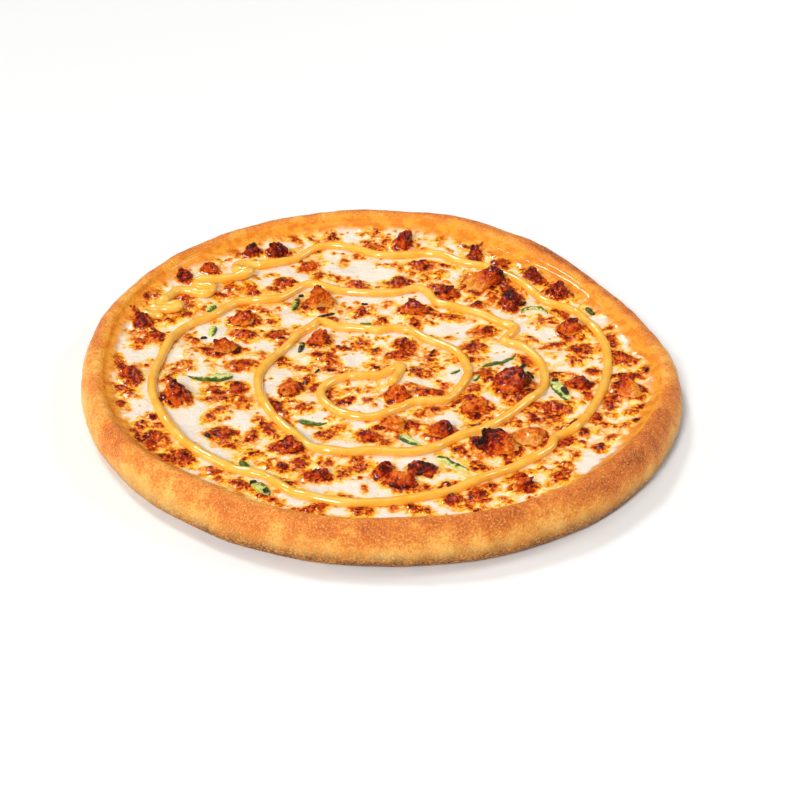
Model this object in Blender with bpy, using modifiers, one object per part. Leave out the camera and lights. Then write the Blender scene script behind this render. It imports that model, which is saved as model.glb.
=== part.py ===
"""A round pizza at its real size: an uneven rolled crust, a relief of melted cheese
with a spiral of thick sauce, browned chicken pieces and slices of green pepper.

Metres, +Z up, standing on z = 0, with the near side of the pizza towards -Y.
Places of toppings are in millimetres from the middle of the crust.
"""
from math import atan2, cos, degrees, exp, hypot, radians, sin

import bmesh
import bpy
from mathutils import Vector, noise
from mathutils.bvhtree import BVHTree

MM = 0.001

# Crust: mean sizes, then the swells that make it uneven
CRUST_MIDDLE = Vector((-0.8, -3.0, 0.0)) * MM
CRUST_RADIUS = 148.0
RIM_WIDTH = 15.0
RIM_HEIGHT = 20.0
BASE_THICKNESS = 8.0
TURN_STEPS = 80
RIM_LUMPS = 0.8
RIM_LUMP_SIZE = 26.0
# Share of the rim's width, from its inner foot, over which height swells and lumps begin
RIM_FADE = 0.3

# Each swell: angle from +X, spread, both in degrees, then its height in millimetres
OUTLINE_SWELLS = ((28, 17, -7.5), (64, 12, 4.0), (98, 24, 6.2), (188, 32, -3.7),
                  (318, 30, 3.0))
WIDTH_SWELLS = ((60, 12, 9.5), (237, 8, 3.0), (277, 8, 2.5), (325, 14, 2.0), (205, 20, -3.5),
                (155, 14, -4.0), (353, 8, -2.5))
HEIGHT_SWELLS = ((300, 28, 1.6), (235, 22, 1.0), (180, 30, -1.2), (20, 25, -1.4), (75, 20, 1.0))

# The crust's section, as (radius, height) on its mean sizes, from the middle of the
# floor out over the rim and back along the base
CRUST_SECTION = (
    (0.0, 8.0), (126.0, 8.0), (129.0, 9.0), (131.5, 12.0), (133.0, 15.2), (134.2, 17.2),
    (136.0, 19.0), (138.6, 20.0), (141.4, 19.6), (143.8, 18.2), (145.8, 15.9), (147.2, 12.9),
    (148.0, 9.4), (147.7, 5.8), (146.6, 2.9), (144.9, 0.9), (142.6, 0.0), (0.0, 0.0),
)

# Cheese layer, which keeps a hair's gap to the crust all round
CHEESE_LEVEL = 14.0
CHEESE_CLIMB = 1.2
CHEESE_RELIEF = 1.3
CHEESE_RELIEF_SIZE = 17.0
CHEESE_RINGS = 8
CHEESE_TOP_RADIUS = 131.2
HIGH_ABOVE = 0.1
CHEESE_EDGE = ((132.5, 15.1), (131.0, 12.2), (128.6, 9.3), (125.8, 8.4), (0.0, 8.4))
GAP = 0.35

# Sauce spiral: radius of its path every 15 degrees from SAUCE_START, half a turn a row.
# Its first turn circles a point near the front of the middle, which drifts to the middle.
SAUCE_START = 60
SAUCE_STEP = 15
SAUCE_RADII = (
    30.0, 17.5, 14.0, 12.5, 11.5, 11.0, 12.0, 14.0, 16.0, 22.0, 29.0, 34.0,
    38.0, 42.0, 43.0, 39.0, 37.5, 46.0, 46.0, 45.5, 42.5, 39.0, 34.5, 32.0,
    33.0, 31.0, 27.0, 30.0, 35.0, 44.0, 45.5, 46.0, 51.0, 59.0, 64.0, 69.0,
    75.0, 81.0, 79.0, 81.0, 76.0, 77.0, 78.0, 82.5, 80.0, 73.0, 72.0, 68.0,
    65.0, 76.0, 65.0, 68.0, 79.0, 77.5, 91.0, 101.0, 105.5, 111.0, 113.0, 115.0,
    114.0, 119.0, 119.0, 114.5, 109.0, 109.0, 109.0, 110.0, 112.5, 114.0, 108.0, 107.0,
    110.0, 112.0, 105.5, 117.0, 110.0, 114.0, 121.0, 123.0,
)
SAUCE_END = 1239
SAUCE_FIRST_MIDDLE = (-3.0, -32.0)
SAUCE_DRIFT_END = 330
SAUCE_PITCH = 10.5
SAUCE_LEAST_STEP = 3.0
SAUCE_BEAD = 2.2
SAUCE_LIFT = 0.9
SAUCE_TAIL_TIP = (6.5, -22.0)
# Each kink: angle along the spiral, spread, and its reach outwards
SAUCE_KINKS = (
    (491, 3.0, 4.5), (609, 4.0, 2.5), (738, 2.5, -7.0), (747, 2.5, 4.5), (786, 4.0, -2.5),
    (801, 4.0, -5.0), (836, 4.0, 4.0), (863, 4.0, 5.0), (876, 4.0, -2.5), (965, 3.5, -4.0),
    (1043, 2.5, -4.0), (1107, 3.0, 3.0), (1116, 4.0, -3.0), (1147, 4.0, -4.0),
    (1195, 4.0, -3.0), (1207, 2.5, 5.0),
)
# Where the bead is piled in small coils: angle, spread, share by which it is thicker
SAUCE_COILS = ((1209, 1.8, 0.6), (1221, 2.0, 0.9), (1233, 2.2, 0.9))

# Chicken pieces: x, y, length, width, height above the cheese, turn, lean of the top
CHICKEN_PIECES = (
    (66, -21, 18, 18, 11, 10, 2), (56, -73, 23, 13, 10, -20, -5), (72, -65, 16, 15, 6, 40, 1),
    (13, -103, 14, 11, 6, -10, 1), (-95, -37, 14, 13, 8, -35, -2), (-40, -77, 15, 10, 5, -12, 2),
    (-31, 53, 14, 12, 11, 15, -2), (11, 118, 12, 10, 9, 80, 1), (-69, 104, 10, 8, 5, 20, -1),
    (-56, 104, 12, 8, 6, -20, 1), (18, 49, 17, 11, 6, 10, -1), (54, 77, 24, 13, 11, 25, 5),
    (-75, 7, 13, 11, 7, 30, -2), (31, -62, 14, 9, 6, 15, 2), (-29, 17, 12, 10, 7, 70, 1),
    (10, -31.5, 12, 9, 7, -25, -2), (9, -55.5, 13, 11, 4, 0, 1), (67, -104, 13, 8, 5, 20, 2),
    (121, -22, 16, 13, 6, -40, -2), (92, 68, 14, 10, 6, -50, 1), (80, 84, 10, 8, 5, -45, 0),
    (-119, 29, 11, 8, 6, -55, 1), (-103, 76, 9, 8, 5, 60, 0), (-90, 84, 10, 8, 5, -30, 1),
    (-118, -20, 14, 9, 5, -75, 1), (-25, -99, 13, 8, 5, -5, 1), (22, -92, 13, 9, 5, -10, 1),
    (5, -94, 11, 9, 6, 50, 0), (97, -18, 14, 9, 5, 15, -1), (49.5, 105.5, 10, 8, 6, 70, 1),
    (35, 66, 12, 10, 5, 30, 0), (67, 58, 14, 11, 7, 65, -1), (96, 33, 13, 12, 6, 40, 2),
    (-41, -27, 13, 11, 5, 60, 1), (48, -39, 14, 12, 4, 20, -1), (-68, 35, 15, 10, 5, 10, 2),
)

# Smaller browned pieces that are one with the cheese: x, y, length, width, turn
BROWNED_LUMPS = (
    (-3, -65, 11, 8, 0), (-50, 74, 9, 8, 60), (-38, 93, 10, 8, 50), (21, 97, 11, 7, 0),
    (64, 100, 9, 7, 80), (10, 78, 9, 8, 30), (-12, 74, 9, 8, 0), (13, 16, 10, 9, 45),
    (47, 15, 10, 8, 20), (53, 31, 11, 7, 10), (120, 7, 9, 7, 80), (-101, -71, 11, 7, 125),
    (-87, -86, 12, 7, -45), (36, -114, 9, 7, 0), (47, -111, 9, 7, 80), (-66, -6, 12, 7, 0),
    (-67, -27, 8, 7, 70), (-71, -66, 12, 9, 0), (85, -38, 13, 8, -10), (53, -11, 9, 8, 0),
    (25, -27, 13, 5, 8), (-67, 22, 11, 8, -20), (-51, 23, 10, 7, 10), (100, 15, 11, 8, 30),
)
LUMP_RISE = 2.4
LUMP_SINK = 1.6
FIRST_LUMP_SEED = 50

# Form of chicken and browned lumps: depth and scale of their crags, how far the ball is
# squared, how much it narrows to its top, and the share of its height at its widest
LUMP_CRAGS = 0.32
LUMP_CRAG_SCALE = 1.7
LUMP_SQUARING = 0.35
LUMP_TAPER = 0.2
LUMP_SKIRT = 0.15
SEED_STEP = Vector((3.1, 1.7, 0.0))

# Pepper slices: x, y, length, width, bend of the strip, turn
PEPPER_SLICES = (
    (-86, 47, 7, 4, 20, 60), (-83, 24, 10, 4, 15, 85), (-81, -20, 23, 4, 75, 0),
    (-43, 54, 12, 3.5, 40, 80), (-38, 11, 9, 3.5, 15, 82), (79, 54, 18, 3, -150, 0),
    (107, 51, 8, 3, 40, -60), (62, 2, 24, 3, 80, 40), (88, -23, 18, 6, 12, -65),
    (16, -68, 12, 5, 10, -42), (36, -86, 18, 4, -10, -33), (-57, -92, 10, 3.5, 12, -45),
    (-50, -109, 14, 6, -12, -50), (-29, -55, 14, 3, 55, 0),
)
PEPPER_THICKNESS = 2.2
PEPPER_CUTS = 5
PEPPER_POINT = 0.5

CRUST_COLOUR = (0.72, 0.40, 0.13, 1.0)
CHEESE_COLOUR = (0.90, 0.74, 0.45, 1.0)
CHICKEN_COLOUR = (0.36, 0.10, 0.03, 1.0)
PEPPER_COLOUR = (0.16, 0.26, 0.06, 1.0)


def away_from(angle, centre):
    """Signed angle between two bearings, in degrees."""
    return (angle - centre + 180.0) % 360.0 - 180.0


def swollen(mean, swells, angle):
    """A mean size with the swells near one bearing added."""
    size = mean
    for centre, spread, height in swells:
        size += height * exp(-0.5 * (away_from(angle, centre) / spread) ** 2)
    return size


def rim_at(angle):
    """Outer radius, width and height of the rim at one bearing, in millimetres."""
    radius = swollen(CRUST_RADIUS, OUTLINE_SWELLS, angle)
    width = swollen(RIM_WIDTH, WIDTH_SWELLS, angle)
    height = swollen(RIM_HEIGHT, HEIGHT_SWELLS, angle)
    return radius, width, height


def cheese_level(x, y):
    """Height of the cheese surface at a place in millimetres, with its relief."""
    radius, width, _ = rim_at(degrees(atan2(y, x)))
    share = min(hypot(x, y) / (radius - width), 1.0)
    relief = noise.noise(Vector((x, y, 0.0)) / CHEESE_RELIEF_SIZE)
    edge_fade = 1.0 - share ** 10
    return CHEESE_LEVEL + CHEESE_CLIMB * share ** 6 + CHEESE_RELIEF * relief * edge_fade


def smooth_between(before, start, end, after, share):
    """Catmull-Rom value between start and end."""
    bend = 2.0 * before - 5.0 * start + 4.0 * end - after
    twist = 3.0 * (start - end) + after - before
    return start + 0.5 * share * (end - before + share * (bend + share * twist))


def sauce_point(angle):
    """Place of the sauce spiral's path at an angle counted along its turns."""
    steps = (angle - SAUCE_START) / SAUCE_STEP
    index = min(int(steps), len(SAUCE_RADII) - 2)
    picks = [min(max(index + k, 0), len(SAUCE_RADII) - 1) for k in (-1, 0, 1, 2)]
    radius = smooth_between(*[SAUCE_RADII[k] for k in picks], steps - index)
    for centre, spread, reach in SAUCE_KINKS:
        radius += reach * exp(-0.5 * ((angle - centre) / spread) ** 2)
    drift = min((angle - SAUCE_START) / (SAUCE_DRIFT_END - SAUCE_START), 1.0)
    middle = Vector(SAUCE_FIRST_MIDDLE) * (1.0 - drift)
    return middle + radius * Vector((cos(radians(angle)), sin(radians(angle))))


def material(name, colour, roughness):
    """A plain finish for one kind of piece."""
    made = bpy.data.materials.new(name)
    made.use_nodes = True
    shader = made.node_tree.nodes["Principled BSDF"]
    shader.inputs["Base Color"].default_value = colour
    shader.inputs["Roughness"].default_value = roughness
    return made


def new_object(name, mesh, collection, finish=None):
    """Link a mesh as an object, shaded smooth with its sharp edges kept."""
    made = bpy.data.objects.new(name, mesh)
    collection.objects.link(made)
    if finish:
        mesh.materials.clear()
        mesh.materials.append(finish)
    return made


def evaluated_mesh(source):
    """The mesh of an object with its modifiers, as a mesh of its own."""
    bpy.context.view_layer.update()
    graph = bpy.context.evaluated_depsgraph_get()
    return bpy.data.meshes.new_from_object(source.evaluated_get(graph), depsgraph=graph)


def drop(source):
    """Remove an object that only helped to make another."""
    bpy.data.objects.remove(source, do_unlink=True)


def turned(name, section, collection):
    """Turn a section about the Z axis into a closed mesh, in millimetres times MM."""
    mesh = bpy.data.meshes.new(name)
    points = [(radius * MM, 0.0, height * MM) for radius, height in section]
    edges = [(k, k + 1) for k in range(len(points) - 1)]
    mesh.from_pydata(points, edges, [])
    helper = new_object(name + "_section", mesh, collection)
    screw = helper.modifiers.new("turn", "SCREW")
    screw.steps = TURN_STEPS
    screw.render_steps = TURN_STEPS
    screw.use_merge_vertices = True
    screw.merge_threshold = 0.0001
    made = evaluated_mesh(helper)
    drop(helper)
    return made


def make_uneven(mesh, lumps):
    """Move a turned mesh from its mean sizes to the real outline, rim and relief."""
    inner = CRUST_RADIUS - RIM_WIDTH
    for vertex in mesh.vertices:
        x, y, z = vertex.co / MM
        mean = hypot(x, y)
        angle = degrees(atan2(y, x))
        radius, width, height = rim_at(angle)
        if mean > inner:
            across = (mean - inner) / RIM_WIDTH
            real = radius - width * (1.0 - across)
            lift = max(z - BASE_THICKNESS, 0.0) / (RIM_HEIGHT - BASE_THICKNESS)
            z += (height - RIM_HEIGHT) * lift * min(across / RIM_FADE, 1.0)
        else:
            across = 0.0
            real = mean * (radius - width) / inner
        if z > 0.0 and across > 0.0:
            place = Vector((real * cos(radians(angle)), real * sin(radians(angle)), z))
            push = lumps * noise.noise(place / RIM_LUMP_SIZE) * min(across / RIM_FADE, 1.0)
            real += push
            z += push * lift
        vertex.co = CRUST_MIDDLE + Vector(
            (real * MM * cos(radians(angle)), real * MM * sin(radians(angle)), z * MM)
        )


def build_crust(collection, finish):
    """Flat base with a rolled rim of uneven width, height and outline."""
    mesh = turned("crust", CRUST_SECTION, collection)
    make_uneven(mesh, RIM_LUMPS)
    mesh.shade_smooth()
    return new_object("crust", mesh, collection, finish)


def build_cheese_layer(collection, finish):
    """Cheese from the crust's floor up to its relief, before anything is joined to it."""
    rings = [
        (CHEESE_TOP_RADIUS * ring / CHEESE_RINGS, CHEESE_LEVEL)
        for ring in range(CHEESE_RINGS + 1)
    ]
    mesh = turned("cheese", tuple(rings) + CHEESE_EDGE, collection)
    top = [vertex.index for vertex in mesh.vertices if abs(vertex.co.z - CHEESE_LEVEL * MM) < 1e-5]
    make_uneven(mesh, 0.0)
    for index in top:
        vertex = mesh.vertices[index]
        x, y, _ = (vertex.co - CRUST_MIDDLE) / MM
        vertex.co.z = cheese_level(x, y) * MM
    return new_object("cheese", mesh, collection, finish)


def build_sauce_bead(collection):
    """The spiral of thick sauce as a round bead that lies half in the cheese."""
    span = [(Vector(SAUCE_TAIL_TIP), SAUCE_START)]
    angle = SAUCE_START
    while angle < SAUCE_END:
        place = sauce_point(angle)
        span.append((place, angle))
        step_length = (place - sauce_point(angle + 1.0)).length
        angle += min(max(SAUCE_PITCH / step_length, SAUCE_LEAST_STEP), SAUCE_STEP)
    curve = bpy.data.curves.new("sauce", "CURVE")
    curve.dimensions = "3D"
    curve.bevel_depth = SAUCE_BEAD * MM
    curve.bevel_resolution = 1
    curve.use_fill_caps = True
    spline = curve.splines.new("POLY")
    spline.points.add(len(span) - 1)
    for point, (place, angle) in zip(spline.points, span):
        level = cheese_level(place.x, place.y) + SAUCE_LIFT
        spot = CRUST_MIDDLE + Vector((place.x, place.y, level)) * MM
        point.co = (*spot, 1.0)
        point.radius = 1.0 + sum(
            more * exp(-0.5 * ((angle - centre) / spread) ** 2)
            for centre, spread, more in SAUCE_COILS
        )
    helper = bpy.data.objects.new("sauce_path", curve)
    collection.objects.link(helper)
    mesh = evaluated_mesh(helper)
    drop(helper)
    welded = bmesh.new()
    welded.from_mesh(mesh)
    bmesh.ops.remove_doubles(welded, verts=welded.verts, dist=1e-5)
    bmesh.ops.recalc_face_normals(welded, faces=welded.faces)
    welded.to_mesh(mesh)
    welded.free()
    return new_object("sauce", mesh, collection)


def lump_mesh(name, length, width, height, seed, lean=0.0):
    """A craggy lump from a ball of 80 faces, whose lower half is pressed flat at z = 0."""
    form = bmesh.new()
    bmesh.ops.create_icosphere(form, subdivisions=2, radius=1.0)
    for vertex in form.verts:
        way = vertex.co.normalized()
        push = 1.0 + LUMP_CRAGS * noise.noise(way * LUMP_CRAG_SCALE + SEED_STEP * seed)
        squarer = max(abs(way.x), abs(way.y), abs(way.z)) ** -LUMP_SQUARING
        spot = way * push * squarer
        tip = max(spot.z, 0.0)
        under = min(max(-spot.z, 0.0), 1.0)
        taper = 1.0 - LUMP_TAPER * tip
        rise = LUMP_SKIRT * (1.0 - under) + (1.0 - LUMP_SKIRT) * tip
        vertex.co = Vector((
            spot.x * length / 2.0 * taper + lean * tip ** 2,
            spot.y * width / 2.0 * taper,
            height * rise,
        )) * MM
    mesh = bpy.data.meshes.new(name)
    form.to_mesh(mesh)
    form.free()
    return mesh


def pepper_mesh(name, length, width, bend):
    """A strip of pepper with its underside at z = 0, bent flat by an angle along its length."""
    form = bmesh.new()
    bmesh.ops.create_cube(form, size=1.0)
    across = [edge for edge in form.edges if abs(edge.verts[0].co.x - edge.verts[1].co.x) > 0.5]
    bmesh.ops.subdivide_edges(form, edges=across, cuts=PEPPER_CUTS, use_grid_fill=True)
    radius = length / radians(bend)
    for vertex in form.verts:
        spin = vertex.co.x * radians(bend)
        side = vertex.co.y * width * (1.0 - PEPPER_POINT * abs(2.0 * vertex.co.x) ** 3)
        vertex.co = Vector((
            (radius - side) * sin(spin),
            radius - (radius - side) * cos(spin),
            (vertex.co.z + 0.5) * PEPPER_THICKNESS,
        )) * MM
    bmesh.ops.recalc_face_normals(form, faces=form.faces)
    mesh = bpy.data.meshes.new(name)
    form.to_mesh(mesh)
    form.free()
    return mesh


def seat(made, x, y, turn, sink=0.0):
    """Put a topping at its place, level with the cheese there or sunk in it."""
    made.location = CRUST_MIDDLE + Vector((x, y, cheese_level(x, y) - sink)) * MM
    made.rotation_euler.z = radians(turn)


def lay_on(made, surface):
    """Fit a topping to what it lies on, a hair above it all over."""
    bpy.context.view_layer.update()
    for vertex in made.data.vertices:
        spot = made.matrix_world @ vertex.co
        hit, _, _, _ = surface.ray_cast(Vector((spot.x, spot.y, HIGH_ABOVE)), Vector((0, 0, -1)))
        vertex.co.z += hit.z + GAP * MM - made.location.z


def build_chicken(collection, surface, finish):
    """Each piece of browned chicken, lying on the cheese."""
    for number, (x, y, length, width, height, turn, lean) in enumerate(CHICKEN_PIECES, 1):
        name = f"chicken_{number:02d}"
        mesh = lump_mesh(name, length, width, height, number, lean)
        made = new_object(name, mesh, collection, finish)
        seat(made, x, y, turn)
        lay_on(made, surface)


def build_pepper(collection, surface, finish):
    """Each slice of pepper, lying on the cheese and bent to its relief."""
    for number, (x, y, length, width, bend, turn) in enumerate(PEPPER_SLICES, 1):
        name = f"pepper_{number:02d}"
        made = new_object(name, pepper_mesh(name, length, width, bend), collection, finish)
        seat(made, x, y, turn)
        lay_on(made, surface)


def build_lumps(collection):
    """The smaller browned pieces that are joined to the cheese."""
    for number, (x, y, length, width, turn) in enumerate(BROWNED_LUMPS, 1):
        name = f"lump_{number:02d}"
        height = LUMP_RISE + LUMP_SINK
        mesh = lump_mesh(name, length, width, height, FIRST_LUMP_SEED + number)
        made = new_object(name, mesh, collection)
        seat(made, x, y, turn, LUMP_SINK)


def join_all(target, pieces):
    """Join a collection's objects to the target by one Boolean, then remove them."""
    union = target.modifiers.new("join", "BOOLEAN")
    union.operation = "UNION"
    union.operand_type = "COLLECTION"
    union.collection = pieces
    union.solver = "EXACT"
    mesh = evaluated_mesh(target)
    target.modifiers.clear()
    target.data = mesh
    for used in list(pieces.objects):
        drop(used)
    bpy.data.collections.remove(pieces)


def surface_of(target):
    """The target's surface, to lay toppings on."""
    form = bmesh.new()
    form.from_mesh(target.data)
    tree = BVHTree.FromBMesh(form)
    form.free()
    return tree


def keep_largest_body(mesh):
    """Drop the loose scraps that a Boolean may leave."""
    form = bmesh.new()
    form.from_mesh(mesh)
    bodies = []
    unseen = set(form.verts)
    while unseen:
        body = []
        queue = [unseen.pop()]
        while queue:
            vertex = queue.pop()
            body.append(vertex)
            for edge in vertex.link_edges:
                other = edge.other_vert(vertex)
                if other in unseen:
                    unseen.remove(other)
                    queue.append(other)
        bodies.append(body)
    bodies.sort(key=len, reverse=True)
    for scrap in bodies[1:]:
        bmesh.ops.delete(form, geom=scrap, context="VERTS")
    form.to_mesh(mesh)
    form.free()


def main():
    for leftover in list(bpy.data.objects):
        drop(leftover)
    scene = bpy.context.scene.collection
    pizza = bpy.data.collections.new("pizza")
    joined = bpy.data.collections.new("joined_to_cheese")
    scene.children.link(pizza)
    scene.children.link(joined)

    build_crust(pizza, material("baked_crust", CRUST_COLOUR, 0.6))
    cheese = build_cheese_layer(pizza, material("melted_cheese", CHEESE_COLOUR, 0.35))
    build_sauce_bead(joined)
    build_lumps(joined)
    join_all(cheese, joined)
    keep_largest_body(cheese.data)
    cheese.data.shade_smooth()

    surface = surface_of(cheese)
    build_chicken(pizza, surface, material("browned_chicken", CHICKEN_COLOUR, 0.4))
    build_pepper(pizza, surface, material("green_pepper", PEPPER_COLOUR, 0.35))


main()
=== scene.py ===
"""A round pizza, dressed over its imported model: baked crust, melted browned cheese,
a spiral of thick sauce, browned chicken and slices of green pepper.

Places of toppings are in millimetres from the middle of the crust, as in the part's own
source. Meshes are worked out in millimetres and written in metres.
"""
import random
from math import cos, exp, pi, radians, sin

import bmesh
import bpy
import numpy as np
from bpy.props import FloatProperty, FloatVectorProperty, IntProperty, PointerProperty
from mathutils import Matrix, Vector, noise


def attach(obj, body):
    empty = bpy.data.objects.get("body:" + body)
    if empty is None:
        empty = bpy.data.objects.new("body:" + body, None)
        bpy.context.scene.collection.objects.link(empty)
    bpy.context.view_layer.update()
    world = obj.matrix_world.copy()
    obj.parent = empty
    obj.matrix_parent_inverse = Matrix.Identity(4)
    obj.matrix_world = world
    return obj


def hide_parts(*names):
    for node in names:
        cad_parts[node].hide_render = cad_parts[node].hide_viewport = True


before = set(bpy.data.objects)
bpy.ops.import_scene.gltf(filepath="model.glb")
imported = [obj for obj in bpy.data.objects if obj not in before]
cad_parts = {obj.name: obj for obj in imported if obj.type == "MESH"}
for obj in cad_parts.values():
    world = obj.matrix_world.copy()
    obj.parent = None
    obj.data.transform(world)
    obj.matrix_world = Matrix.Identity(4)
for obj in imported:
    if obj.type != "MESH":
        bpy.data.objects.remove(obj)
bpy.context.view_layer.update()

bl_info = {
    "name": "Cheese pizza",
    "version": (1, 0, 0),
    "blender": (4, 5, 0),
    "location": "3D View > Sidebar > Pizza",
    "description": "Builds a baked pizza with browned cheese, sauce, chicken and pepper",
    "category": "Add Mesh",
}

MM = 0.001

# The part's own sizes, repeated here so that each piece keeps to its solid
CRUST_MIDDLE = Vector((-0.8, -3.0, 0.0))
CRUST_RADIUS = 148.0
RIM_WIDTH = 15.0
RIM_HEIGHT = 20.0
BASE_THICKNESS = 8.0
RIM_LUMPS = 0.8
RIM_LUMP_SIZE = 26.0
RIM_FADE = 0.3
OUTLINE_SWELLS = ((28, 17, -7.5), (64, 12, 4.0), (98, 24, 6.2), (188, 32, -3.7),
                  (318, 30, 3.0))
WIDTH_SWELLS = ((60, 12, 9.5), (237, 8, 3.0), (277, 8, 2.5), (325, 14, 2.0), (205, 20, -3.5),
                (155, 14, -4.0), (353, 8, -2.5))
HEIGHT_SWELLS = ((300, 28, 1.6), (235, 22, 1.0), (180, 30, -1.2), (20, 25, -1.4), (75, 20, 1.0))
CRUST_SECTION = (
    (0.0, 8.0), (126.0, 8.0), (129.0, 9.0), (131.5, 12.0), (133.0, 15.2), (134.2, 17.2),
    (136.0, 19.0), (138.6, 20.0), (141.4, 19.6), (143.8, 18.2), (145.8, 15.9), (147.2, 12.9),
    (148.0, 9.4), (147.7, 5.8), (146.6, 2.9), (144.9, 0.9), (142.6, 0.0), (0.0, 0.0),
)
# Rings of the flat underside, and the hidden ring under the cheese, as radii
BASE_RINGS = (136.0, 120.0, 90.0, 45.0)
HIDDEN_RING = 60.0
# Relief of the rim that is too fine for its solid: size and depth
RIM_DIMPLES = (8.0, 0.28)
RIM_GRAIN = (2.6, 0.10)

CHEESE_LEVEL = 14.0
CHEESE_CLIMB = 1.2
CHEESE_RELIEF = 1.3
CHEESE_RELIEF_SIZE = 17.0
# The wall of dough that the cheese climbs, as radii of the crust's section
WALL_FOOT = 129.0
WALL_CREST = 138.6
# The hidden lower side of the cheese: its level, and its share of the upper side's radius
CHEESE_UNDERSIDE = 8.5
UNDERSIDE_SHARE = 0.965
# Small blisters, strewn at random: least and largest radius, most browning, and oil round them
DOT_SIZES = (0.45, 1.5)
DOT_BROWNING = 0.6
DOT_OIL = 0.80
# Oil on the cheese, from 0 to 1: everywhere, by broad waves, by folds and near browned places
OIL_EVERYWHERE = 0.29
OIL_BROAD = 0.52
OIL_FOLDS = 0.45
OIL_NEAR_BROWN = 1.3
NEAR_BROWN_SPREAD = 3.6
OIL_KEPT_OFF_WHITE = 0.92
# A browned place: browning and oil of the palest, how much more the darkest has, and its rise
PLACE_BROWNING = (0.18, 0.36)
PLACE_OIL = (0.60, 0.40)
PLACE_RISE = 0.5
PLACE_BLISTER_SIZES = (0.8, 1.9)
PLACE_BLISTER_OIL = 0.9
AREA_OF_A_BLISTER = 9.0
# A browned place is wider than the lump that lies in it
LUMP_MARGIN = 2.5
LUMP_PLACE_BROWNING = 0.65
# Cheese banked up round each chicken piece: share of the piece's height, oil and browning
CHICKEN_BANK = 0.22
CHICKEN_BANK_OIL = 0.90
CHICKEN_BANK_BROWNING = 0.60
# A small blister rises by this share of the largest rise for each millimetre of its radius
DOT_RISE = 0.35

# The sauce spiral: angles in degrees along its turns, and its radius at each step
SAUCE_START = 60
SAUCE_STEP = 15
SAUCE_RADII = (
    30.0, 17.5, 14.0, 12.5, 11.5, 11.0, 12.0, 14.0, 16.0, 22.0, 29.0, 34.0,
    38.0, 42.0, 43.0, 39.0, 37.5, 46.0, 46.0, 45.5, 42.5, 39.0, 34.5, 32.0,
    33.0, 31.0, 27.0, 30.0, 35.0, 44.0, 45.5, 46.0, 51.0, 59.0, 64.0, 69.0,
    75.0, 81.0, 79.0, 81.0, 76.0, 77.0, 78.0, 82.5, 80.0, 73.0, 72.0, 68.0,
    65.0, 76.0, 65.0, 68.0, 79.0, 77.5, 91.0, 101.0, 105.5, 111.0, 113.0, 115.0,
    114.0, 119.0, 119.0, 114.5, 109.0, 109.0, 109.0, 110.0, 112.5, 114.0, 108.0, 107.0,
    110.0, 112.0, 105.5, 117.0, 110.0, 114.0, 121.0, 123.0,
)
SAUCE_FIRST_MIDDLE = (-3.0, -32.0)
SAUCE_DRIFT_END = 330
SAUCE_TAIL_TIP = (6.5, -22.0)
# Kinks of the spiral: angle, spread and reach
SAUCE_KINKS = (
    (491, 3.0, 4.5), (609, 4.0, 2.5), (738, 2.5, -7.0), (747, 2.5, 4.5), (786, 4.0, -2.5),
    (801, 4.0, -5.0), (836, 4.0, 4.0), (863, 4.0, 5.0), (876, 4.0, -2.5), (965, 3.5, -4.0),
    (1043, 2.5, -4.0), (1107, 3.0, 3.0), (1116, 4.0, -3.0), (1147, 4.0, -4.0),
    (1195, 4.0, -3.0), (1207, 2.5, 5.0),
)
SAUCE_PATH_STEP = 1.1
SAUCE_POINT_GAP = 3.0
# Path points over which the bead's level and its coils' swelling are evened out
SAUCE_LEVEL_REACH = 5
SAUCE_COIL_FADE = 12.0
# The spiral keeps to its path up to this angle, and goes on in coils: x, y and extra lift
SAUCE_COILS_START = 1196
SAUCE_COILS = (
    (-62, 92, 0), (-67, 92, 0), (-72, 92, 0.2), (-76, 89.5, 0), (-76.5, 86, 0),
    (-73.5, 82.5, 0.8), (-69.5, 82, 1.6), (-68.5, 79, 2), (-72, 77, 1.4), (-77, 75, 0.3),
    (-81.5, 74, 0), (-86, 73, 0.6), (-90, 72.5, 1.2), (-94.5, 71, 0.6), (-95.5, 68, 0),
    (-92.5, 65.5, 0.4), (-88.5, 65, 1), (-86.5, 63, 1.6), (-88, 59.5, 1.2), (-92, 58.5, 0.4),
    (-97, 60.5, 0), (-101, 61, 0), (-105, 60, 0), (-108, 54, 0.8), (-110.5, 49.5, 1.2),
    (-111.5, 47, 0.6), (-108.5, 45.5, 0), (-105, 46.5, 0.8), (-102, 45.5, 1.4),
    (-103, 42, 1.2), (-107, 42, 0.8), (-111, 42, 0.4), (-115, 42, 0), (-118, 40.5, 0),
    (-119, 37.5, 0), (-116, 35.5, 0), (-112.5, 36, 0), (-109, 34.5, 0),
)

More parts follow.
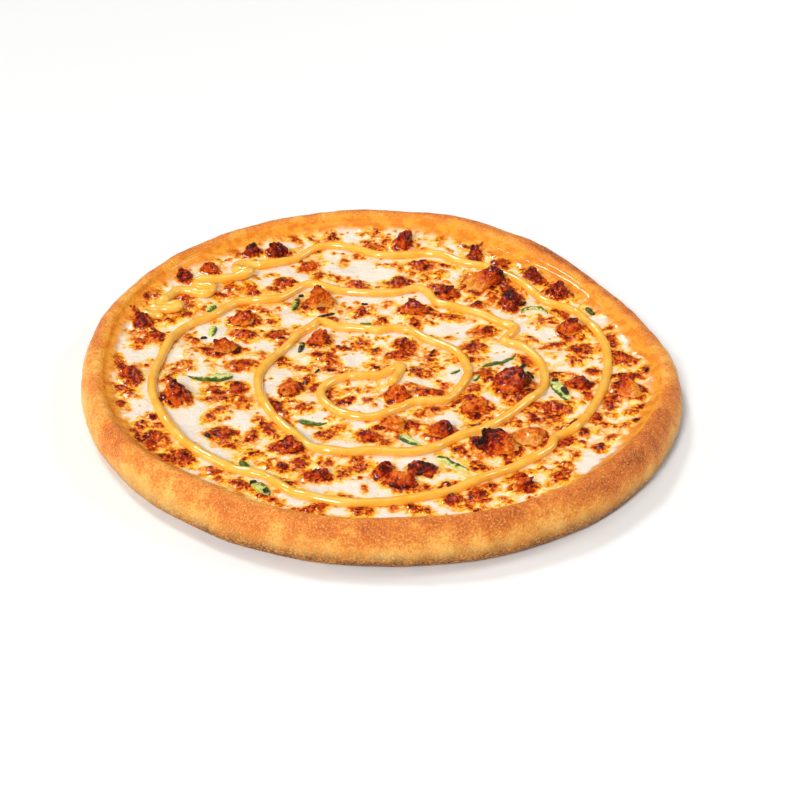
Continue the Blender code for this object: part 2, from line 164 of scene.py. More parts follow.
# Chicken pieces: x, y, length, width, height above the cheese, turn, lean of the top
CHICKEN_PIECES = (
    (66, -21, 18, 18, 11, 10, 2), (56, -73, 23, 13, 10, -20, -5), (72, -65, 16, 15, 6, 40, 1),
    (13, -103, 14, 11, 6, -10, 1), (-95, -37, 14, 13, 8, -35, -2), (-40, -77, 15, 10, 5, -12, 2),
    (-31, 53, 14, 12, 11, 15, -2), (11, 118, 12, 10, 9, 80, 1), (-69, 104, 10, 8, 5, 20, -1),
    (-56, 104, 12, 8, 6, -20, 1), (18, 49, 17, 11, 6, 10, -1), (54, 77, 24, 13, 11, 25, 5),
    (-75, 7, 13, 11, 7, 30, -2), (31, -62, 14, 9, 6, 15, 2), (-29, 17, 12, 10, 7, 70, 1),
    (10, -31.5, 12, 9, 7, -25, -2), (9, -55.5, 13, 11, 4, 0, 1), (67, -104, 13, 8, 5, 20, 2),
    (121, -22, 16, 13, 6, -40, -2), (92, 68, 14, 10, 6, -50, 1), (80, 84, 10, 8, 5, -45, 0),
    (-119, 29, 11, 8, 6, -55, 1), (-103, 76, 9, 8, 5, 60, 0), (-90, 84, 10, 8, 5, -30, 1),
    (-118, -20, 14, 9, 5, -75, 1), (-25, -99, 13, 8, 5, -5, 1), (22, -92, 13, 9, 5, -10, 1),
    (5, -94, 11, 9, 6, 50, 0), (97, -18, 14, 9, 5, 15, -1), (49.5, 105.5, 10, 8, 6, 70, 1),
    (35, 66, 12, 10, 5, 30, 0), (67, 58, 14, 11, 7, 65, -1), (96, 33, 13, 12, 6, 40, 2),
    (-41, -27, 13, 11, 5, 60, 1), (48, -39, 14, 12, 4, 20, -1), (-68, 35, 15, 10, 5, 10, 2),
)
# Browning of each chicken piece from 0, pale, to 1, charred: its mean, how much more its top
# has than its foot, and the bearing and amount of a browner side
CHICKEN_LOOKS = (
    (0.74, 0.10, 60, 0.25), (0.66, 0.10, 150, 0.28), (0.20, 0.25, 90, 0.12),
    (0.50, -0.50, -90, 0.15), (0.62, 0.20, 20, 0.15), (0.66, 0.10, 0, 0.0),
    (0.50, 0.50, 90, 0.20), (0.64, 0.10, 0, 0.0), (0.70, 0.10, 0, 0.0), (0.72, 0.10, 0, 0.0),
    (0.52, 0.30, 0, 0.05), (0.54, 0.15, 45, 0.30), (0.46, 0.45, 120, 0.30),
    (0.60, 0.10, 30, 0.15), (0.50, 0.20, 90, 0.10), (0.42, 0.0, -90, 0.10),
    (0.26, 0.0, 150, 0.10), (0.42, 0.0, 0, 0.35), (0.38, 0.10, 135, 0.35),
    (0.68, 0.10, 0, 0.0), (0.70, 0.10, 0, 0.0), (0.68, 0.10, 0, 0.0), (0.72, 0.05, 0, 0.0),
    (0.56, 0.15, 0, 0.0), (0.64, 0.10, 0, 0.0), (0.60, 0.10, 0, 0.0), (0.74, 0.05, 0, 0.0),
    (0.70, 0.05, 0, 0.0), (0.60, 0.15, 0, 0.1), (0.70, 0.10, 0, 0.0), (0.66, 0.10, 0, 0.0),
    (0.74, 0.10, 0, 0.0), (0.58, 0.20, 90, 0.2), (0.46, 0.20, 0, 0.1), (0.38, 0.10, 0, 0.1),
    (0.48, 0.40, 90, 0.20),
)

# Smaller browned pieces that are one with the cheese: x, y, length, width, turn
BROWNED_LUMPS = (
    (-3, -65, 11, 8, 0), (-50, 74, 9, 8, 60), (-38, 93, 10, 8, 50), (21, 97, 11, 7, 0),
    (64, 100, 9, 7, 80), (10, 78, 9, 8, 30), (-12, 74, 9, 8, 0), (13, 16, 10, 9, 45),
    (47, 15, 10, 8, 20), (53, 31, 11, 7, 10), (120, 7, 9, 7, 80), (-101, -71, 11, 7, 125),
    (-87, -86, 12, 7, -45), (36, -114, 9, 7, 0), (47, -111, 9, 7, 80), (-66, -6, 12, 7, 0),
    (-67, -27, 8, 7, 70), (-71, -66, 12, 9, 0), (85, -38, 13, 8, -10), (53, -11, 9, 8, 0),
    (25, -27, 13, 5, 8), (-67, 22, 11, 8, -20), (-51, 23, 10, 7, 10), (100, 15, 11, 8, 30),
)
LUMP_RISE = 2.4
LUMP_SINK = 1.6
LUMP_LOOK = (0.58, 0.15, 0, 0.0)
FIRST_LUMP_SEED = 50
CHICKEN_SINK = 1.2
CHICKEN_FINENESS = 5
LUMP_FINENESS = 4
# The most browned places are raised too, from this browning and length upwards
RAISED_BROWNING = 0.75
RAISED_LENGTH = 4
RAISED_SHARE = 0.85
RAISED_SINK = 1.1

# Form of a craggy lump: its large waves, how square it is, how it narrows, its skirt and its cuts
LUMP_CRAGS = 0.32
LUMP_CRAG_SCALE = 1.7
LUMP_SQUARING = 0.35
LUMP_TAPER = 0.2
LUMP_SKIRT = 0.15
LUMP_CUTS = 9
LUMP_CUT_REACH = (0.62, 0.88)
LUMP_CUT_DEPTH = 0.9
# Fine relief of a lump: size and share of its blocks, and sizes of strands, ridges and powder
CRAG_BLOCKS = ((5.0, 1.0), (2.3, 0.7))
STRAND_LENGTH = 7.0
STRAND_WIDTH = 1.7
RIDGE_SIZE = 4.0
POWDER_SIZE = 1.2
# Browning of a lump that follows its patches and its crests, and that its foot lacks
PATCH_SIZE = 4.0
PATCH_BROWNING = 0.16
CRAG_BROWNING = 0.11
FOOT_PALENESS = 0.06
SEED_STEP = Vector((3.1, 1.7, 0.0))

# Pepper slices: x, y, length, width, bend of the strip, turn
PEPPER_SLICES = (
    (-86, 47, 7, 4, 20, 60), (-83, 24, 10, 4, 15, 85), (-81, -20, 23, 4, 75, 0),
    (-43, 54, 12, 3.5, 40, 80), (-38, 11, 9, 3.5, 15, 82), (79, 54, 18, 3, -150, 0),
    (107, 51, 8, 3, 40, -60), (62, 2, 24, 3, 80, 40), (88, -23, 18, 6, 12, -65),
    (16, -68, 12, 5, 10, -42), (36, -86, 18, 4, -10, -33), (-57, -92, 10, 3.5, 12, -45),
    (-50, -109, 14, 6, -12, -50), (-29, -55, 14, 3, 55, 0),
)
# Look of each slice: how pale its inner side is, how charred it is, how much thicker its far
# end is, and its share of the full width
PEPPER_LOOKS = (
    (0.7, 0.2, 0.0, 1.0), (0.9, 0.1, 0.0, 1.0), (0.62, 0.1, 0.9, 0.9), (0.6, 0.5, 0.0, 0.9),
    (0.5, 0.6, 0.0, 0.8), (0.4, 0.3, 0.0, 0.7), (0.2, 0.5, 0.0, 0.8), (0.45, 0.05, -0.4, 0.6),
    (1.0, 0.2, 0.0, 0.9), (0.75, 0.15, -0.5, 0.9), (0.45, 0.1, -0.7, 0.9), (0.4, 0.3, -0.6, 0.9),
    (0.9, 0.4, 0.4, 0.9), (0.4, 0.1, -1.0, 0.8),
)
# Small green and charred flecks: x, y, length, width, bend, turn, paleness, char, lift
FLECKS = (
    (-7, 35, 6, 2, 40, 10, 0.6, 0.1, 0.0), (48, -14, 5, 2.5, 20, 60, 0.6, 0.1, 0.0),
    (38, -8, 6, 2, 30, 40, 0.7, 0.3, 0.0), (-77, -69, 4, 2.2, 20, -50, 0.0, 1.0, 0.0),
    (14, 69, 10, 1.6, 40, 35, 0.1, 0.8, 0.2), (30, 67, 6, 1.6, 30, -30, 0.1, 0.9, 0.2),
    (-41, 62, 3, 1.8, 10, 30, 0.0, 1.0, 0.2), (-27, 42, 10, 1.5, 45, 25, 0.2, 0.6, 0.0),
    (-8, 55, 3.5, 1.5, 10, 0, 0.1, 0.9, 0.0), (-29, -10, 4, 1.2, 60, 60, 0.1, 0.9, 0.0),
    (-87, 18, 3.5, 1.6, 10, 10, 0.0, 1.0, 0.0), (71, -2, 6, 2.2, 40, 60, 0.0, 1.0, 0.6),
    (74, -10, 6, 2, 40, -60, 0.0, 1.0, 1.0), (90, -25, 6, 3, 10, -65, 0.0, 1.0, 1.5),
    (86, -15, 3.5, 2.5, 10, 20, 0.0, 0.9, 1.0), (-75, -18.5, 11, 5.5, 20, 8, 1.0, 0.0, 0.9),
    (-47, -113, 3, 2.5, 10, -50, 0.0, 1.0, 1.4),
    (-53, -106, 3, 1.5, 10, 20, 0.0, 1.0, 1.2), (74, 56, 4, 1.2, 60, 60, 0.1, 1.0, 1.2),
)
FLECK_THICKNESS = 1.1
FLECK_SINK = 0.2
FIRST_FLECK_SEED = 20
PEPPER_THICKNESS = 2.2
PEPPER_POINT = 0.5
PEPPER_SINK = 0.8
PEPPER_STEPS = 36
PEPPER_SIDES = 14
PEPPER_SHARP_EDGE = radians(40.0)

# Browned places of the cheese: x, y, length, width, turn, browning from 0 to 1
BROWNED_PLACES = (
    (-120, 56, 14, 5, 85, 0.9), (-115, 58, 8, 4, 85, 0.7), (-125, 41, 13, 6, -60, 0.9),
    (-118, 32, 11, 6, -60, 0.9), (-79, 104, 6, 5, 0, 0.5), (-67, 117, 5, 4, 80, 0.7),
    (-48, 121, 8, 4, -60, 0.45), (-41, 125, 4, 3, 0, 0.4), (-27, 124, 9, 5, -75, 0.9),
    (-12, 128, 3, 3, 0, 0.8), (-4, 130, 8, 4, 80, 0.75), (-5, 116, 13, 7, -45, 0.8),
    (-20, 99, 6, 3, 80, 0.35), (-12, 104, 5, 3, -20, 0.5), (-48, 107, 5, 3, 60, 0.45),
    (-33, 82, 9, 6, 80, 0.75), (-26, 82, 10, 3, -20, 0.55), (-56, 67, 6, 6, 0, 0.6),
    (-57, 83, 4, 3, 0, 0.35), (-66, 66, 12, 5, -65, 0.85), (-64, 58, 5, 4, 0, 0.75),
    (-77, 68, 8, 6, 0, 0.5), (-84, 60, 8, 6, 0, 0.45), (-100, 56, 11, 5, -50, 0.75),
    (-90, 46, 5, 3, 60, 0.75), (-96, 50, 8, 5, 70, 0.5), (-100, 40, 11, 8, 20, 0.5),
    (-106, 33, 6, 5, 0, 0.5), (-112, 33, 6, 3, 80, 0.6), (-117, 20, 10, 6, -10, 0.75),
    (-111, 19, 12, 7, -60, 0.75), (-104, 12, 9, 4, 80, 0.85), (-95, 19, 5, 5, 0, 0.7),
    (-92, 15, 7, 5, -40, 0.5), (-118, 12, 7, 5, -30, 0.75), (-119, 8, 5, 3, 0, 0.5),
    (-84, 7, 11, 7, -55, 0.55), (-68, 9, 5, 4, 0, 0.45), (-58, 5, 4, 3, 0, 0.4),
    (-47, 17, 6, 5, 30, 0.5), (-48, 13, 6, 4, 60, 0.4), (-62, 46, 14, 5, -28, 0.65),
    (-55, 35, 5, 4, 0, 0.4), (-42, 31, 3, 3, 0, 0.7), (-38, 53, 15, 5, 82, 0.6),
    (-24, 38, 6, 5, 0, 0.75), (-8, 48, 11, 8, 20, 0.65), (-19, 11, 9, 4, 10, 0.85),
    (-27, 4, 11, 7, -20, 0.7), (-8, 18, 8, 6, -40, 0.6), (-2, 10, 6, 5, 0, 0.7),
    (-124, -12, 17, 5, -68, 0.9), (-121, -31, 9, 4, -30, 0.9), (-117, -36, 8, 4, -20, 0.5),
    (-120, -45, 7, 4, -60, 0.9), (-103, -54, 6, 5, 0, 0.95), (-108, -61, 9, 6, 20, 0.6),
    (-101, -60, 5, 4, 70, 0.7), (-112, -67, 9, 4, -55, 0.85), (-107, -73, 7, 5, -40, 0.95),
    (-102, -78, 8, 7, 0, 0.75), (-95, -75, 4, 4, 0, 0.55), (-93, -88, 11, 7, -25, 0.9),
    (-85, -90, 7, 5, 30, 0.85), (-71, -97, 9, 5, -20, 0.8), (-68, -103, 8, 3, -35, 0.4),
    (-58, -107, 12, 6, -35, 0.7), (-47, -116, 14, 4, -35, 0.55), (-38, -104, 11, 5, -35, 0.7),
    (-41, -91, 6, 5, 60, 0.95), (-33, -87, 9, 7, 50, 0.8), (-13, -94, 11, 7, 70, 0.45),
    (-22, -86, 6, 6, 0, 0.45), (-7, -87, 11, 8, -70, 0.8), (-25, -123, 15, 5, 28, 0.85),
    (-4, -124, 9, 7, 0, 0.65), (-21, -129, 3, 2, 0, 0.7), (-12, -113, 7, 2, -20, 0.4),
    (-46, -87, 4, 3, 0, 0.4), (-48, -91, 7, 4, -30, 0.4), (-56, -82, 10, 5, 25, 0.5),
    (-57, -68, 10, 5, 75, 0.5), (-66, -75, 10, 4, -5, 0.45), (-78, -53, 8, 5, 70, 0.35),
    (-74, -46, 10, 5, 35, 0.55), (-64, -38, 16, 8, -60, 0.35), (-54, -54, 5, 4, 0, 0.8),
    (-49, -62, 15, 5, -62, 0.75), (-77, -29, 9, 7, 0, 0.85), (-83, -34, 3, 3, 0, 0.7),
    (-78, -37, 8, 3, 0, 0.7), (-70, -36, 7, 5, 0, 0.6), (-98, -15, 7, 4, 40, 0.65),
    (-101, -21, 6, 5, 60, 0.85), (-94, -5, 8, 5, 50, 0.3), (-92, -10, 4, 3, 0, 0.4),
    (-46, -2, 9, 7, -50, 0.6), (-38, -7, 8, 4, -20, 0.5), (-33, -17, 8, 5, 70, 0.7),
    (-42, -33, 6, 5, 0, 0.4), (-40, -38, 5, 3, 0, 0.9), (-30, -25, 6, 3, 70, 0.75),
    (-34, -44, 8, 7, 0, 0.7), (-47, -42, 18, 5, -55, 0.85), (-42, -56, 8, 5, -55, 0.9),
    (-23, -64, 8, 7, 0, 0.7), (-18, -59, 9, 5, 40, 0.55), (-15, -36, 11, 6, 25, 0.6),
    (-22, -30, 8, 3, 80, 0.7), (-11, -27, 7, 4, 0, 0.5), (-5, -27, 4, 3, 0, 0.4),
    (-3, -35, 6, 4, 30, 0.45), (-22, -2, 7, 6, 0, 0.75), (-22, -9, 10, 3, -10, 0.7),
    (-1, -5, 8, 4, -45, 0.9), (-15, -7, 6, 3, 0, 0.4), (6, -6, 6, 4, -40, 0.85),
    (21, -8, 11, 6, -35, 0.65), (27, -4, 8, 6, 0, 0.5), (33, -20, 4, 3, 0, 0.7),
    (17, -22, 8, 4, -20, 0.35), (24, -43, 14, 6, 20, 0.6), (38, -36, 9, 3, 55, 0.85),
    (19, -55, 7, 4, -70, 0.9), (1, -57, 5, 4, 0, 0.75), (27, -57, 7, 5, -30, 0.5),
    (47, -22, 8, 6, 60, 0.8), (44, -31, 8, 7, 0, 0.75), (48, -47, 14, 7, -20, 0.5),
    (61, -41, 4, 3, 0, 0.75), (50, -53, 11, 4, 10, 0.65), (66, -52, 10, 4, 5, 0.6),
    (65, -34, 7, 5, 0, 0.4), (88, -8, 9, 4, 0, 0.65), (95, -8, 3, 3, 0, 0.5),
    (106, -4, 6, 5, 0, 0.9), (101, -26, 6, 4, -70, 0.9), (121, -9, 13, 7, 15, 0.95),
    (131, -4, 7, 4, 75, 1.0), (112, -31, 16, 7, 78, 0.8), (76, -36, 9, 5, -10, 0.8),
    (75, -43, 9, 5, 0, 0.45), (92, -33, 4, 4, 0, 0.45), (83, -46, 11, 6, 30, 0.45),
    (75, -49, 6, 4, 0, 0.7), (89, -55, 9, 3, 30, 0.7), (94, -50, 9, 3, 55, 0.8),
    (104, -45, 8, 5, 70, 0.85), (111, -43, 4, 3, 0, 0.4), (107, -51, 4, 3, 0, 0.7),
    (104, -57, 4, 3, 0, 0.4), (111, -53, 3, 3, 0, 0.4), (110, -62, 7, 3, 50, 0.35),
    (126, -36, 6, 3, 20, 1.0), (120, -41, 6, 4, 45, 0.5), (123, -48, 5, 3, 10, 0.95),
    (118, -51, 8, 4, 45, 0.35), (97, -58, 6, 4, 70, 0.95), (88, -67, 12, 6, 40, 0.95),
    (95, -68, 4, 3, 0, 0.4), (92, -77, 5, 3, 80, 0.5), (88, -84, 4, 4, 0, 0.35),
    (104, -70, 6, 5, 60, 0.95), (84, -95, 13, 7, 50, 0.75), (66, -94, 11, 4, 30, 0.9),
    (53, -103, 6, 5, 0, 0.95), (52, -113, 4, 3, 0, 0.4), (57, -113, 4, 3, 0, 0.4),
    (41, -119, 7, 4, 0, 0.35), (46, -123, 3, 2, 0, 0.6), (20, -122, 12, 6, -25, 0.65),
    (10, -121, 4, 3, 0, 0.4), (33, -101, 3, 2, 0, 0.4), (23, -103, 4, 3, 0, 0.4),
    (32, -103, 14, 2, 20, 0.7), (50, -90, 12, 5, -20, 0.6), (46, -85, 5, 5, 0, 0.65),
    (62, -84, 4, 3, 0, 0.7), (40, -76, 13, 5, -58, 0.7), (13, -76, 4, 4, 0, 0.35),
    (13, -64, 5, 3, 20, 0.45), (5, -71, 8, 5, 70, 0.4), (2, 122, 6, 3, 80, 0.8),
    (44, 120, 11, 6, -60, 0.7), (53, 118, 8, 3, 85, 0.75), (31, 125, 8, 3, 80, 0.45),
    (60, 108, 6, 4, -60, 0.6), (34, 97, 9, 2, -30, 0.7), (4, 95, 4, 4, 0, 0.5),
    (10, 94, 5, 3, 80, 0.4), (3, 78, 5, 3, 0, 0.5), (15, 88, 4, 3, 80, 0.4),
    (23, 85, 8, 3, -60, 0.65), (21, 80, 3, 3, 0, 0.6), (31, 88, 6, 6, 0, 0.35),
    (31, 74, 12, 6, -30, 0.85), (67, 71, 8, 6, 60, 0.9), (77, 89, 13, 4, -70, 0.85),
    (86, 80, 10, 6, -50, 0.75), (95, 72, 10, 8, -50, 0.7), (99, 67, 4, 4, 0, 0.95),
    (50, 57, 7, 5, 20, 0.9), (47, 62, 5, 4, 0, 0.4), (17, 38, 7, 5, -60, 0.75),
    (25, 37, 4, 3, 0, 0.5), (37, 44, 15, 5, -15, 0.7), (27, 23, 4, 4, 0, 0.75),
    (35, 24, 4, 3, 0, 0.4), (50, 25, 8, 4, 30, 0.6), (4, 56, 5, 5, 0, 0.5),
    (2, 40, 6, 5, 60, 0.4), (27, 10, 5, 4, 60, 0.85), (11, 7, 13, 8, 20, 0.75),
    (26, 3, 6, 5, 0, 0.35), (44, 4, 13, 4, 8, 0.65), (82, 40, 7, 5, 80, 0.6),
    (92, 50, 11, 5, -50, 0.85), (88, 42, 6, 5, 0, 0.45), (88, 20, 11, 5, 20, 0.7),
    (77, 24, 8, 3, -40, 0.6), (102, 26, 6, 4, 80, 0.5), (103, 20, 4, 3, 0, 0.85),
    (107, 35, 10, 3, -70, 0.9), (115, 35, 6, 3, 30, 0.7), (116, 26, 9, 4, 75, 0.85),
    (117, 20, 6, 4, 75, 0.85), (126, 5, 4, 4, 0, 0.75), (98, 5, 8, 6, 0, 0.65),
    (119, 9, 13, 6, -60, 0.95), (72, 5, 9, 5, -55, 0.9), (65, 74, 12, 5, 80, 0.8),
    (45, 83, 14, 6, 70, 0.65), (58, 66, 12, 5, 80, 0.6), (72, 62, 12, 4, 80, 0.6),
)

# Smooth white places of the cheese: x, y, half length, half width
WHITE_PLACES = (
    (-45, 86, 16, 6), (-17, 92, 13, 9), (-8, 84, 8, 6), (-48, 113, 12, 5), (-15, 125, 9, 5),
    (-107, 73, 6, 6), (-52, 12, 10, 7), (-63, 13, 7, 6), (-88, 27, 4, 5), (-114, 3, 13, 4),
    (-121, -2, 8, 5), (-114, -47, 9, 8), (-84, -57, 7, 18), (-86, -97, 9, 4), (-76, -85, 9, 8),
    (-61, -95, 6, 4), (-72, -106, 5, 3), (-34, -113, 6, 3), (-20, -109, 15, 5), (-34, -120, 7, 3),
    (-15, -124, 5, 4), (-19, -76, 9, 5), (-31, -49, 9, 6), (-8, -35, 5, 10), (-12, 1, 8, 5),
    (20, -17, 6, 4), (38, -9, 5, 7), (35, -48, 6, 6), (57, -29, 6, 6), (62, -58, 8, 8),
    (45, -69, 4, 7), (15, -89, 5, 8), (30, -99, 14, 5), (2, -107, 5, 8), (31, -120, 12, 6),
    (7, -125, 9, 4), (58, -106, 7, 5), (102, -62, 9, 11), (98, -82, 9, 8), (113, -44, 5, 6),
    (95, -4, 9, 3), (97, -24, 4, 4), (92, -43, 7, 3), (119, -34, 6, 5), (87, 28, 9, 8),
    (70, 32, 5, 5), (110, 42, 5, 5), (122, 27, 4, 9), (45, 33, 8, 6), (30, 31, 7, 5),
    (33, 15, 6, 5), (6, 47, 6, 7), (-4, 61, 8, 5), (35, 94, 10, 4), (4, 88, 6, 8),
    (50, 65, 6, 5), (62, 50, 6, 6), (76, 64, 4, 4), (-60, -58, 6, 8), (-30, -70, 4, 6),
    (-50, -30, 4, 6), (-70, -15, 7, 5), (-108, -30, 4, 14), (-90, -12, 8, 6), (-77, 88, 5, 6),
    (-57, 76, 6, 6), (-43, 40, 7, 5), (60, 10, 7, 8), (5, 65, 7, 4), (22, 62, 4, 4),
)

# Crust browning: angle, spread and amount added at the crest
BROWN_STRETCHES = (
    (-88, 6, 0.20), (-60, 16, 0.13), (-32, 14, 0.30), (-112, 10, 0.04), (-140, 18, 0.10),
    (175, 25, 0.10), (100, 25, 0.16), (50, 16, 0.24), (26, 12, 0.22), (-8, 10, 0.08),
    (-72, 7, 0.06),
)
# Browning of the rim, from 0 to 1: everywhere, more at the crest, more on the inner slope, and
# less at the very edge of the cheese
RIM_BROWNING = 0.16
CREST_BROWNING = 0.18
SLOPE_BROWNING = 0.12
EDGE_PALENESS = 0.25
# Waves of that browning: size, shift of the noise, and amount
BROWNING_WAVES = ((30.0, 2.0, 0.16), (9.0, 7.0, 0.10))
# Painted shade that darkens the foot of the crust, and where oil ran from the cheese on to the rim:
# angle, spread and amount added to the mean amount
MEAN_FOOT_SHADE = 0.85
MEAN_RIM_OIL = 0.15
FOOT_SHADE_STRETCHES = ((180, 38, -0.70), (-75, 50, 0.50))
OILY_STRETCHES = ((140, 50, 0.80), (60, 35, 0.60), (10, 30, 0.40))

# Lights: name, spread in degrees or side in metres, strength and place
FAR_LIGHTS = (("key", 12.0, 1.05, (-0.42, 0.6, 0.92)), ("front", 14.0, 2.35, (-0.4, -1.05, 0.85)))
NEAR_LIGHTS = (
    ("top", 0.5, 2.0, (0.0, 0.1, 1.4)), ("side", 0.4, 3.5, (0.9, 0.25, 0.8)),
    ("left", 0.4, 3.6, (-1.1, -0.45, 0.6)),
)
FLOOR_HALF = 30.0
FLOOR_DROP = 0.0002


def linear(red, green, blue):
    """A colour as it looks on screen, from 0 to 255, as Blender's own linear values."""
    shares = (red / 255.0, green / 255.0, blue / 255.0)
    return tuple(((s + 0.055) / 1.055) ** 2.4 if s > 0.04045 else s / 12.92 for s in shares)


def ease(low, high, value):
    """A smooth step from 0 at low to 1 at high, over arrays."""
    share = np.clip((value - low) / (high - low), 0.0, 1.0)
    return share * share * (3.0 - 2.0 * share)


def away_from(angle, centre):
    """Signed angle between bearings, in degrees."""
    return (angle - centre + 180.0) % 360.0 - 180.0


def swollen(mean, swells, angle):
    """A mean size with the swells near each bearing added."""
    size = mean
    for centre, spread, height in swells:
        size = size + height * np.exp(-0.5 * (away_from(angle, centre) / spread) ** 2)
    return size


def rim_at(angle):
    """Outer radius, width and height of the rim at each bearing, in millimetres."""
    radius = swollen(CRUST_RADIUS, OUTLINE_SWELLS, angle)
    width = swollen(RIM_WIDTH, WIDTH_SWELLS, angle)
    height = swollen(RIM_HEIGHT, HEIGHT_SWELLS, angle)
    return radius, width, height


def noise_at(xs, ys, zs, size, shift=0.0):
    """Smooth noise, about -1 to 1, at places given as arrays, with features of one size."""
    flat = zip(np.ravel(xs / size + shift), np.ravel(ys / size), np.ravel(zs / size))
    values = [noise.noise(place) for place in flat]
    return np.array(values).reshape(np.shape(xs))


def smooth_between(before, start, end, after, share):
    """Catmull-Rom value between start and end."""
    bend = 2.0 * before - 5.0 * start + 4.0 * end - after
    twist = 3.0 * (start - end) + after - before
    return start + 0.5 * share * (end - before + share * (bend + share * twist))


def smooth_row(row, share_step):
    """Points along a Catmull-Rom curve through every point of a row."""
    row = [Vector(point) for point in row]
    made = []
    for index in range(len(row) - 1):
        picks = [row[min(max(index + k, 0), len(row) - 1)] for k in (-1, 0, 1, 2)]
        pieces = max(int(round((picks[2] - picks[1]).length / share_step)), 1)
        for piece in range(pieces):
            made.append(smooth_between(*picks, piece / pieces))
    made.append(row[-1])
    return made


def mesh_from(name, points, faces, finish, values=None):
    """A smooth-shaded object from points in millimetres from the crust's middle."""
    mesh = bpy.data.meshes.new(name)
    spots = (np.asarray(points, dtype=float) + np.array(CRUST_MIDDLE)) * MM
    mesh.from_pydata(spots.tolist(), [], faces)
    mesh.validate()
    mesh.shade_smooth()
    mesh.materials.append(finish)
    for label, numbers in (values or {}).items():
        layer = mesh.attributes.new(label, "FLOAT", "POINT")
        layer.data.foreach_set("value", np.asarray(numbers, dtype=np.float32).ravel())
    made = bpy.data.objects.new(name, mesh)
    bpy.context.scene.collection.objects.link(made)
    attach(made, "root")
    return made


def ring_faces(rings, steps):
    """Faces of a closed form made of rings of points, with a cap on each end."""
    faces = []
    for ring in range(rings - 1):
        start = ring * steps
        for step in range(steps):
            after = (step + 1) % steps
            faces.append((start + step, start + after, start + steps + after, start + steps + step))
    last = (rings - 1) * steps
    return faces + [tuple(range(steps))[::-1], tuple(last + step for step in range(steps))]


class Heap:
    """Many small pieces gathered into one mesh, with the values of their points."""

    def __init__(self, *labels):
        self.points, self.faces = [], []
        self.values = {label: [] for label in labels}

    def add(self, points, faces, *rows):
        start = len(self.points)
        self.points.extend(points)
        self.faces.extend([k + start for k in face] for face in faces)
        for numbers, more in zip(self.values.values(), rows):
            numbers.extend(more)


class Finish:
    """A material under construction, with short calls for its nodes."""

    def __init__(self, name):
        self.material = bpy.data.materials.new(name)
        self.material.use_nodes = True
        self.tree = self.material.node_tree
        self.shader = self.tree.nodes["Principled BSDF"]
        self.place = self.tree.nodes.new("ShaderNodeTexCoord").outputs["Object"]

    def put(self, node, socket, value):
        """Link a node's output to a socket, or set the socket's own value."""
        target = node.inputs[socket]
        if isinstance(value, bpy.types.NodeSocket):
            self.tree.links.new(value, target)
        else:
            target.default_value = value

    def grain(self, size, detail=2.0, rough=0.5):
        """Noise from 0 to 1 with features of a size in millimetres."""
        node = self.tree.nodes.new("ShaderNodeTexNoise")
        self.put(node, "Vector", self.place)
        self.put(node, "Scale", 1.0 / (size * MM))
        self.put(node, "Detail", detail)
        self.put(node, "Roughness", rough)
        return node.outputs["Fac"]

    def value(self, name):
        """A number that the mesh carries at each of its points."""
        node = self.tree.nodes.new("ShaderNodeAttribute")
        node.attribute_name = name
        return node.outputs["Fac"]

    def sum_of(self, *terms):
        """The sum of terms, each a socket with a factor, and a last plain number."""
        total = terms[-1]
        for socket, factor in terms[:-1]:
            node = self.tree.nodes.new("ShaderNodeMath")
            node.operation = "MULTIPLY_ADD"
            self.put(node, 0, socket)
            self.put(node, 1, factor)
            self.put(node, 2, total)
            total = node.outputs[0]
        return total

    def times(self, first, second):
        """The product of two sockets or numbers."""
        node = self.tree.nodes.new("ShaderNodeMath")
        node.operation = "MULTIPLY"
        self.put(node, 0, first)
        self.put(node, 1, second)
        return node.outputs[0]

    def between(self, value, low, high, start=0.0, end=1.0):
        """A smooth step of a socket from start at low to end at high."""
        node = self.tree.nodes.new("ShaderNodeMapRange")
        node.interpolation_type = "SMOOTHSTEP"
        for socket, number in enumerate((value, low, high, start, end)):
            self.put(node, socket, number)
        return node.outputs[0]

    def ramp(self, factor, stops):
        """Colours blended along a factor."""
        node = self.tree.nodes.new("ShaderNodeValToRGB")
        self.put(node, "Fac", factor)
        elements = node.color_ramp.elements
        while len(elements) < len(stops):
            elements.new(0.5)
        for element, (position, colour) in zip(elements, stops):
            element.position = position
            element.color = (*colour, 1.0)
        return node.outputs["Color"]

    def mix(self, factor, first, second):
        """One colour laid over another by a factor."""
        node = self.tree.nodes.new("ShaderNodeMix")
        node.data_type = "RGBA"
        for socket, value in ((0, factor), (6, first), (7, second)):
            if not isinstance(value, (bpy.types.NodeSocket, float)):
                value = (*value, 1.0)
            self.put(node, socket, value)
        return node.outputs[2]

    def bump(self, height, distance, strength=1.0, before=None):
        """Relief from a height socket, with its depth in millimetres."""
        node = self.tree.nodes.new("ShaderNodeBump")
        self.put(node, "Strength", strength)
        self.put(node, "Distance", distance * MM)
        self.put(node, "Height", height)
        if before:
            self.put(node, "Normal", before)
        return node.outputs["Normal"]

    def end(self, **sockets):
        """Set the shader's sockets by their names, with underscores for spaces."""
        for name, value in sockets.items():
            if isinstance(value, tuple) and len(value) == 3 and name.endswith("Color"):
                value = (*value, 1.0)
            self.put(self.shader, name.replace("_", " "), value)
        return self.material


class CrustSettings(bpy.types.PropertyGroup):
    """Sizes and colours of the crust."""

    turn_steps: IntProperty(
        name="Steps round", description="Faces round the crust", default=800, min=80, max=1000)
    section_step: FloatProperty(
        name="Section step", description="Length of each face across the rim, in millimetres",
        default=0.75, min=0.5, max=5.0)
    pale: FloatVectorProperty(
        name="Pale", description="Lower side, which the oven browned least",
        subtype="COLOR", default=linear(250, 198, 110))
    golden: FloatVectorProperty(
        name="Golden", description="Middle of the rim", subtype="COLOR",
        default=linear(226, 132, 48))
    brown: FloatVectorProperty(
        name="Brown", description="Crest of the rim", subtype="COLOR",
        default=linear(172, 84, 32))


